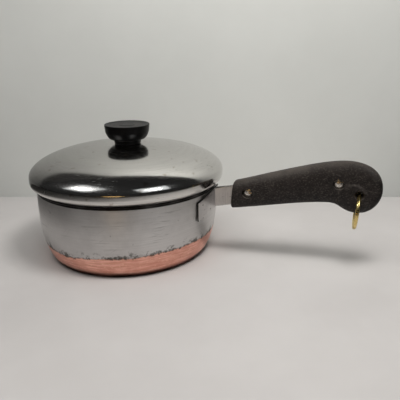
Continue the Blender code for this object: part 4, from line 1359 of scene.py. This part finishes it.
# Lights as name, place, target, width and height, watts and colour. The first ones only light surfaces, and
# the others only show in reflections, so that each can be set without the other.
SURFACE_LIGHTS = (
    ("overhead fill", (0.02, -0.05, 1.10), (0.03, 0, 0), (0.9, 0.7), 1.6, WARM_WHITE),
    ("backdrop light", (0.0, -0.40, 0.85), (0.03, 0.25, 0.34), (0.7, 0.4), 3.4, WARM_WHITE),
    ("overhead lamp", (0.25, -0.17, 0.62), (0.06, 0, 0), (0.17, 0.17), 2.3, WARM_WHITE),
)
REFLECTED_LIGHTS = (
    ("left soft box", (-0.47, -0.51, 0.83), PAN_MIDDLE, (0.20, 0.20), 2.2, (1.0, 0.98, 0.96)),
    ("left glow", (-0.49, -0.54, 0.86), PAN_MIDDLE, (0.55, 0.62), 0.8, COOL_WHITE),
    ("right soft box", (0.68, -0.45, 0.74), PAN_MIDDLE, (0.20, 0.20), 2.4, (0.99, 1.0, 1.0)),
    ("right glow", (0.71, -0.48, 0.77), PAN_MIDDLE, (0.60, 0.62), 0.95, COOL_WHITE),
    ("low warm light", (0.11, -0.74, 0.03), PAN_MIDDLE, (0.24, 0.035), 0.07, (1.0, 0.62, 0.22)),
)


def stage_finish(name, light, dark, roughness, pool, one_sided=False):
    """Pale table or paper with a faint mottle. The pool is the lit part: reflections see the rest as dark."""
    made, bench, shader, place = new_finish(name, Roughness=roughness, Specular_IOR_Level=0.3)
    mottle = bench.noise(place, 9.0, 4.0, 0.6)
    grain = bench.noise(place, 900.0, 2.0, 0.5)
    pale = bench.mix(bench.fade(mottle, 0.25, 0.75), dark, light)
    seen = bench.add("ShaderNodeLightPath").outputs["Is Camera Ray"]
    lit = bench.most(seen, pool(bench, place))
    connect(bench, shader, Base_Color=bench.mix(lit, UNLIT, pale), Normal=bump(bench, grain, 0.05, 0.1 * MM))
    if one_sided:
        clear = bench.add("ShaderNodeBsdfTransparent").outputs[0]
        behind = bench.add("ShaderNodeNewGeometry").outputs["Backfacing"]
        choice = bench.add("ShaderNodeMixShader", {0: behind, 1: shader.outputs[0], 2: clear}).outputs[0]
        bench.feed(made.node_tree.nodes["Material Output"].inputs["Surface"], choice)
    return made


def table_pool(bench, place):
    """The light on the table fades out round the pan."""
    return bench.fade(bench.measure("DISTANCE", place, POOL_CENTRE), *POOL_EDGE, 1.0, 0.0)


def wall_pool(bench, place):
    """The light on the backdrop ends at a line that climbs to the right."""
    along = bench.measure("DOT_PRODUCT", place, SIDEWAYS)
    climb = bench.fade(along, *WALL_CLIMB, *WALL_LIT)
    top = bench.fade(bench.minus(bench.split(place)["Z"], climb), -0.03, 0.03, 1.0, 0.0)
    return bench.times(top, bench.fade(along, *WALL_DIM, 1.0))


def add_sheet(name, corners, finish):
    mesh = bpy.data.meshes.new(name)
    mesh.from_pydata(corners, [], [tuple(range(len(corners)))])
    mesh.materials.append(finish)
    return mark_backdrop(add_object(name, mesh))


def make_stage():
    """A wide table, and behind the pan a sheet of paper that faces the camera."""
    table = stage_finish("table top", TABLE_PALE, TABLE_GREY, 0.55, table_pool)
    paper = stage_finish("backdrop paper", PAPER_PALE, PAPER_GREY, 0.8, wall_pool, True)
    corners = [(TABLE_REACH * x, TABLE_REACH * y, 0) for x, y in ((-1, -1), (1, -1), (1, 1), (-1, 1))]
    add_sheet("table", corners, table)
    foot = Vector((CAMERA_PLACE[0], CAMERA_PLACE[1], 0)) + HEADING * WALL_DISTANCE
    left = foot - SIDEWAYS * WALL_LEFT
    right = foot + SIDEWAYS * WALL_RIGHT
    up = Vector((0, 0, WALL_HEIGHT))
    add_sheet("backdrop", [left, right, right + up, left + up], paper)


def add_soft_box(name, place, target, size, power, colour, in_reflections):
    light = bpy.data.lights.new(name, "AREA")
    light.shape = "RECTANGLE"
    light.size, light.size_y = size
    light.energy = power
    light.color = colour
    lamp = bpy.data.objects.new(name, light)
    bpy.context.scene.collection.objects.link(lamp)
    lamp.location = place
    lamp.rotation_euler = (Vector(target) - Vector(place)).to_track_quat("-Z", "Y").to_euler()
    lamp.visible_camera = False
    lamp.visible_glossy = in_reflections
    lamp.visible_diffuse = not in_reflections


def make_light():
    for light in SURFACE_LIGHTS:
        add_soft_box(*light, in_reflections=False)
    for light in REFLECTED_LIGHTS:
        add_soft_box(*light, in_reflections=True)


def make_world():
    """Pale where it is seen directly, dark where it is reflected, as in a dim room round a lit table."""
    world = bpy.data.worlds.new("room")
    world.use_nodes = True
    bench = Bench(world.node_tree)
    bench.tree.nodes.clear()
    seen = bench.add("ShaderNodeBackground", {"Color": ROOM_SEEN}).outputs[0]
    room = bench.add("ShaderNodeBackground", {"Color": ROOM_REFLECTED}).outputs[0]
    direct = bench.add("ShaderNodeLightPath").outputs["Is Camera Ray"]
    choice = bench.add("ShaderNodeMixShader", {0: direct, 1: room, 2: seen}).outputs[0]
    bench.add("ShaderNodeOutputWorld", {"Surface": choice})
    bpy.context.scene.world = world
    bpy.context.scene.view_settings.view_transform = "Standard"


def make_camera():
    lens = bpy.data.cameras.new("camera")
    lens.lens = CAMERA_LENS
    lens.shift_x, lens.shift_y = CAMERA_SHIFT
    camera = bpy.data.objects.new("camera", lens)
    bpy.context.scene.collection.objects.link(camera)
    camera.location = CAMERA_PLACE
    forward = HEADING * math.cos(CAMERA_DIP) - Vector((0, 0, math.sin(CAMERA_DIP)))
    camera.rotation_euler = forward.to_track_quat("-Z", "Y").to_euler()
    bpy.context.scene.camera = camera


make_stage()
make_light()
make_world()
make_camera()
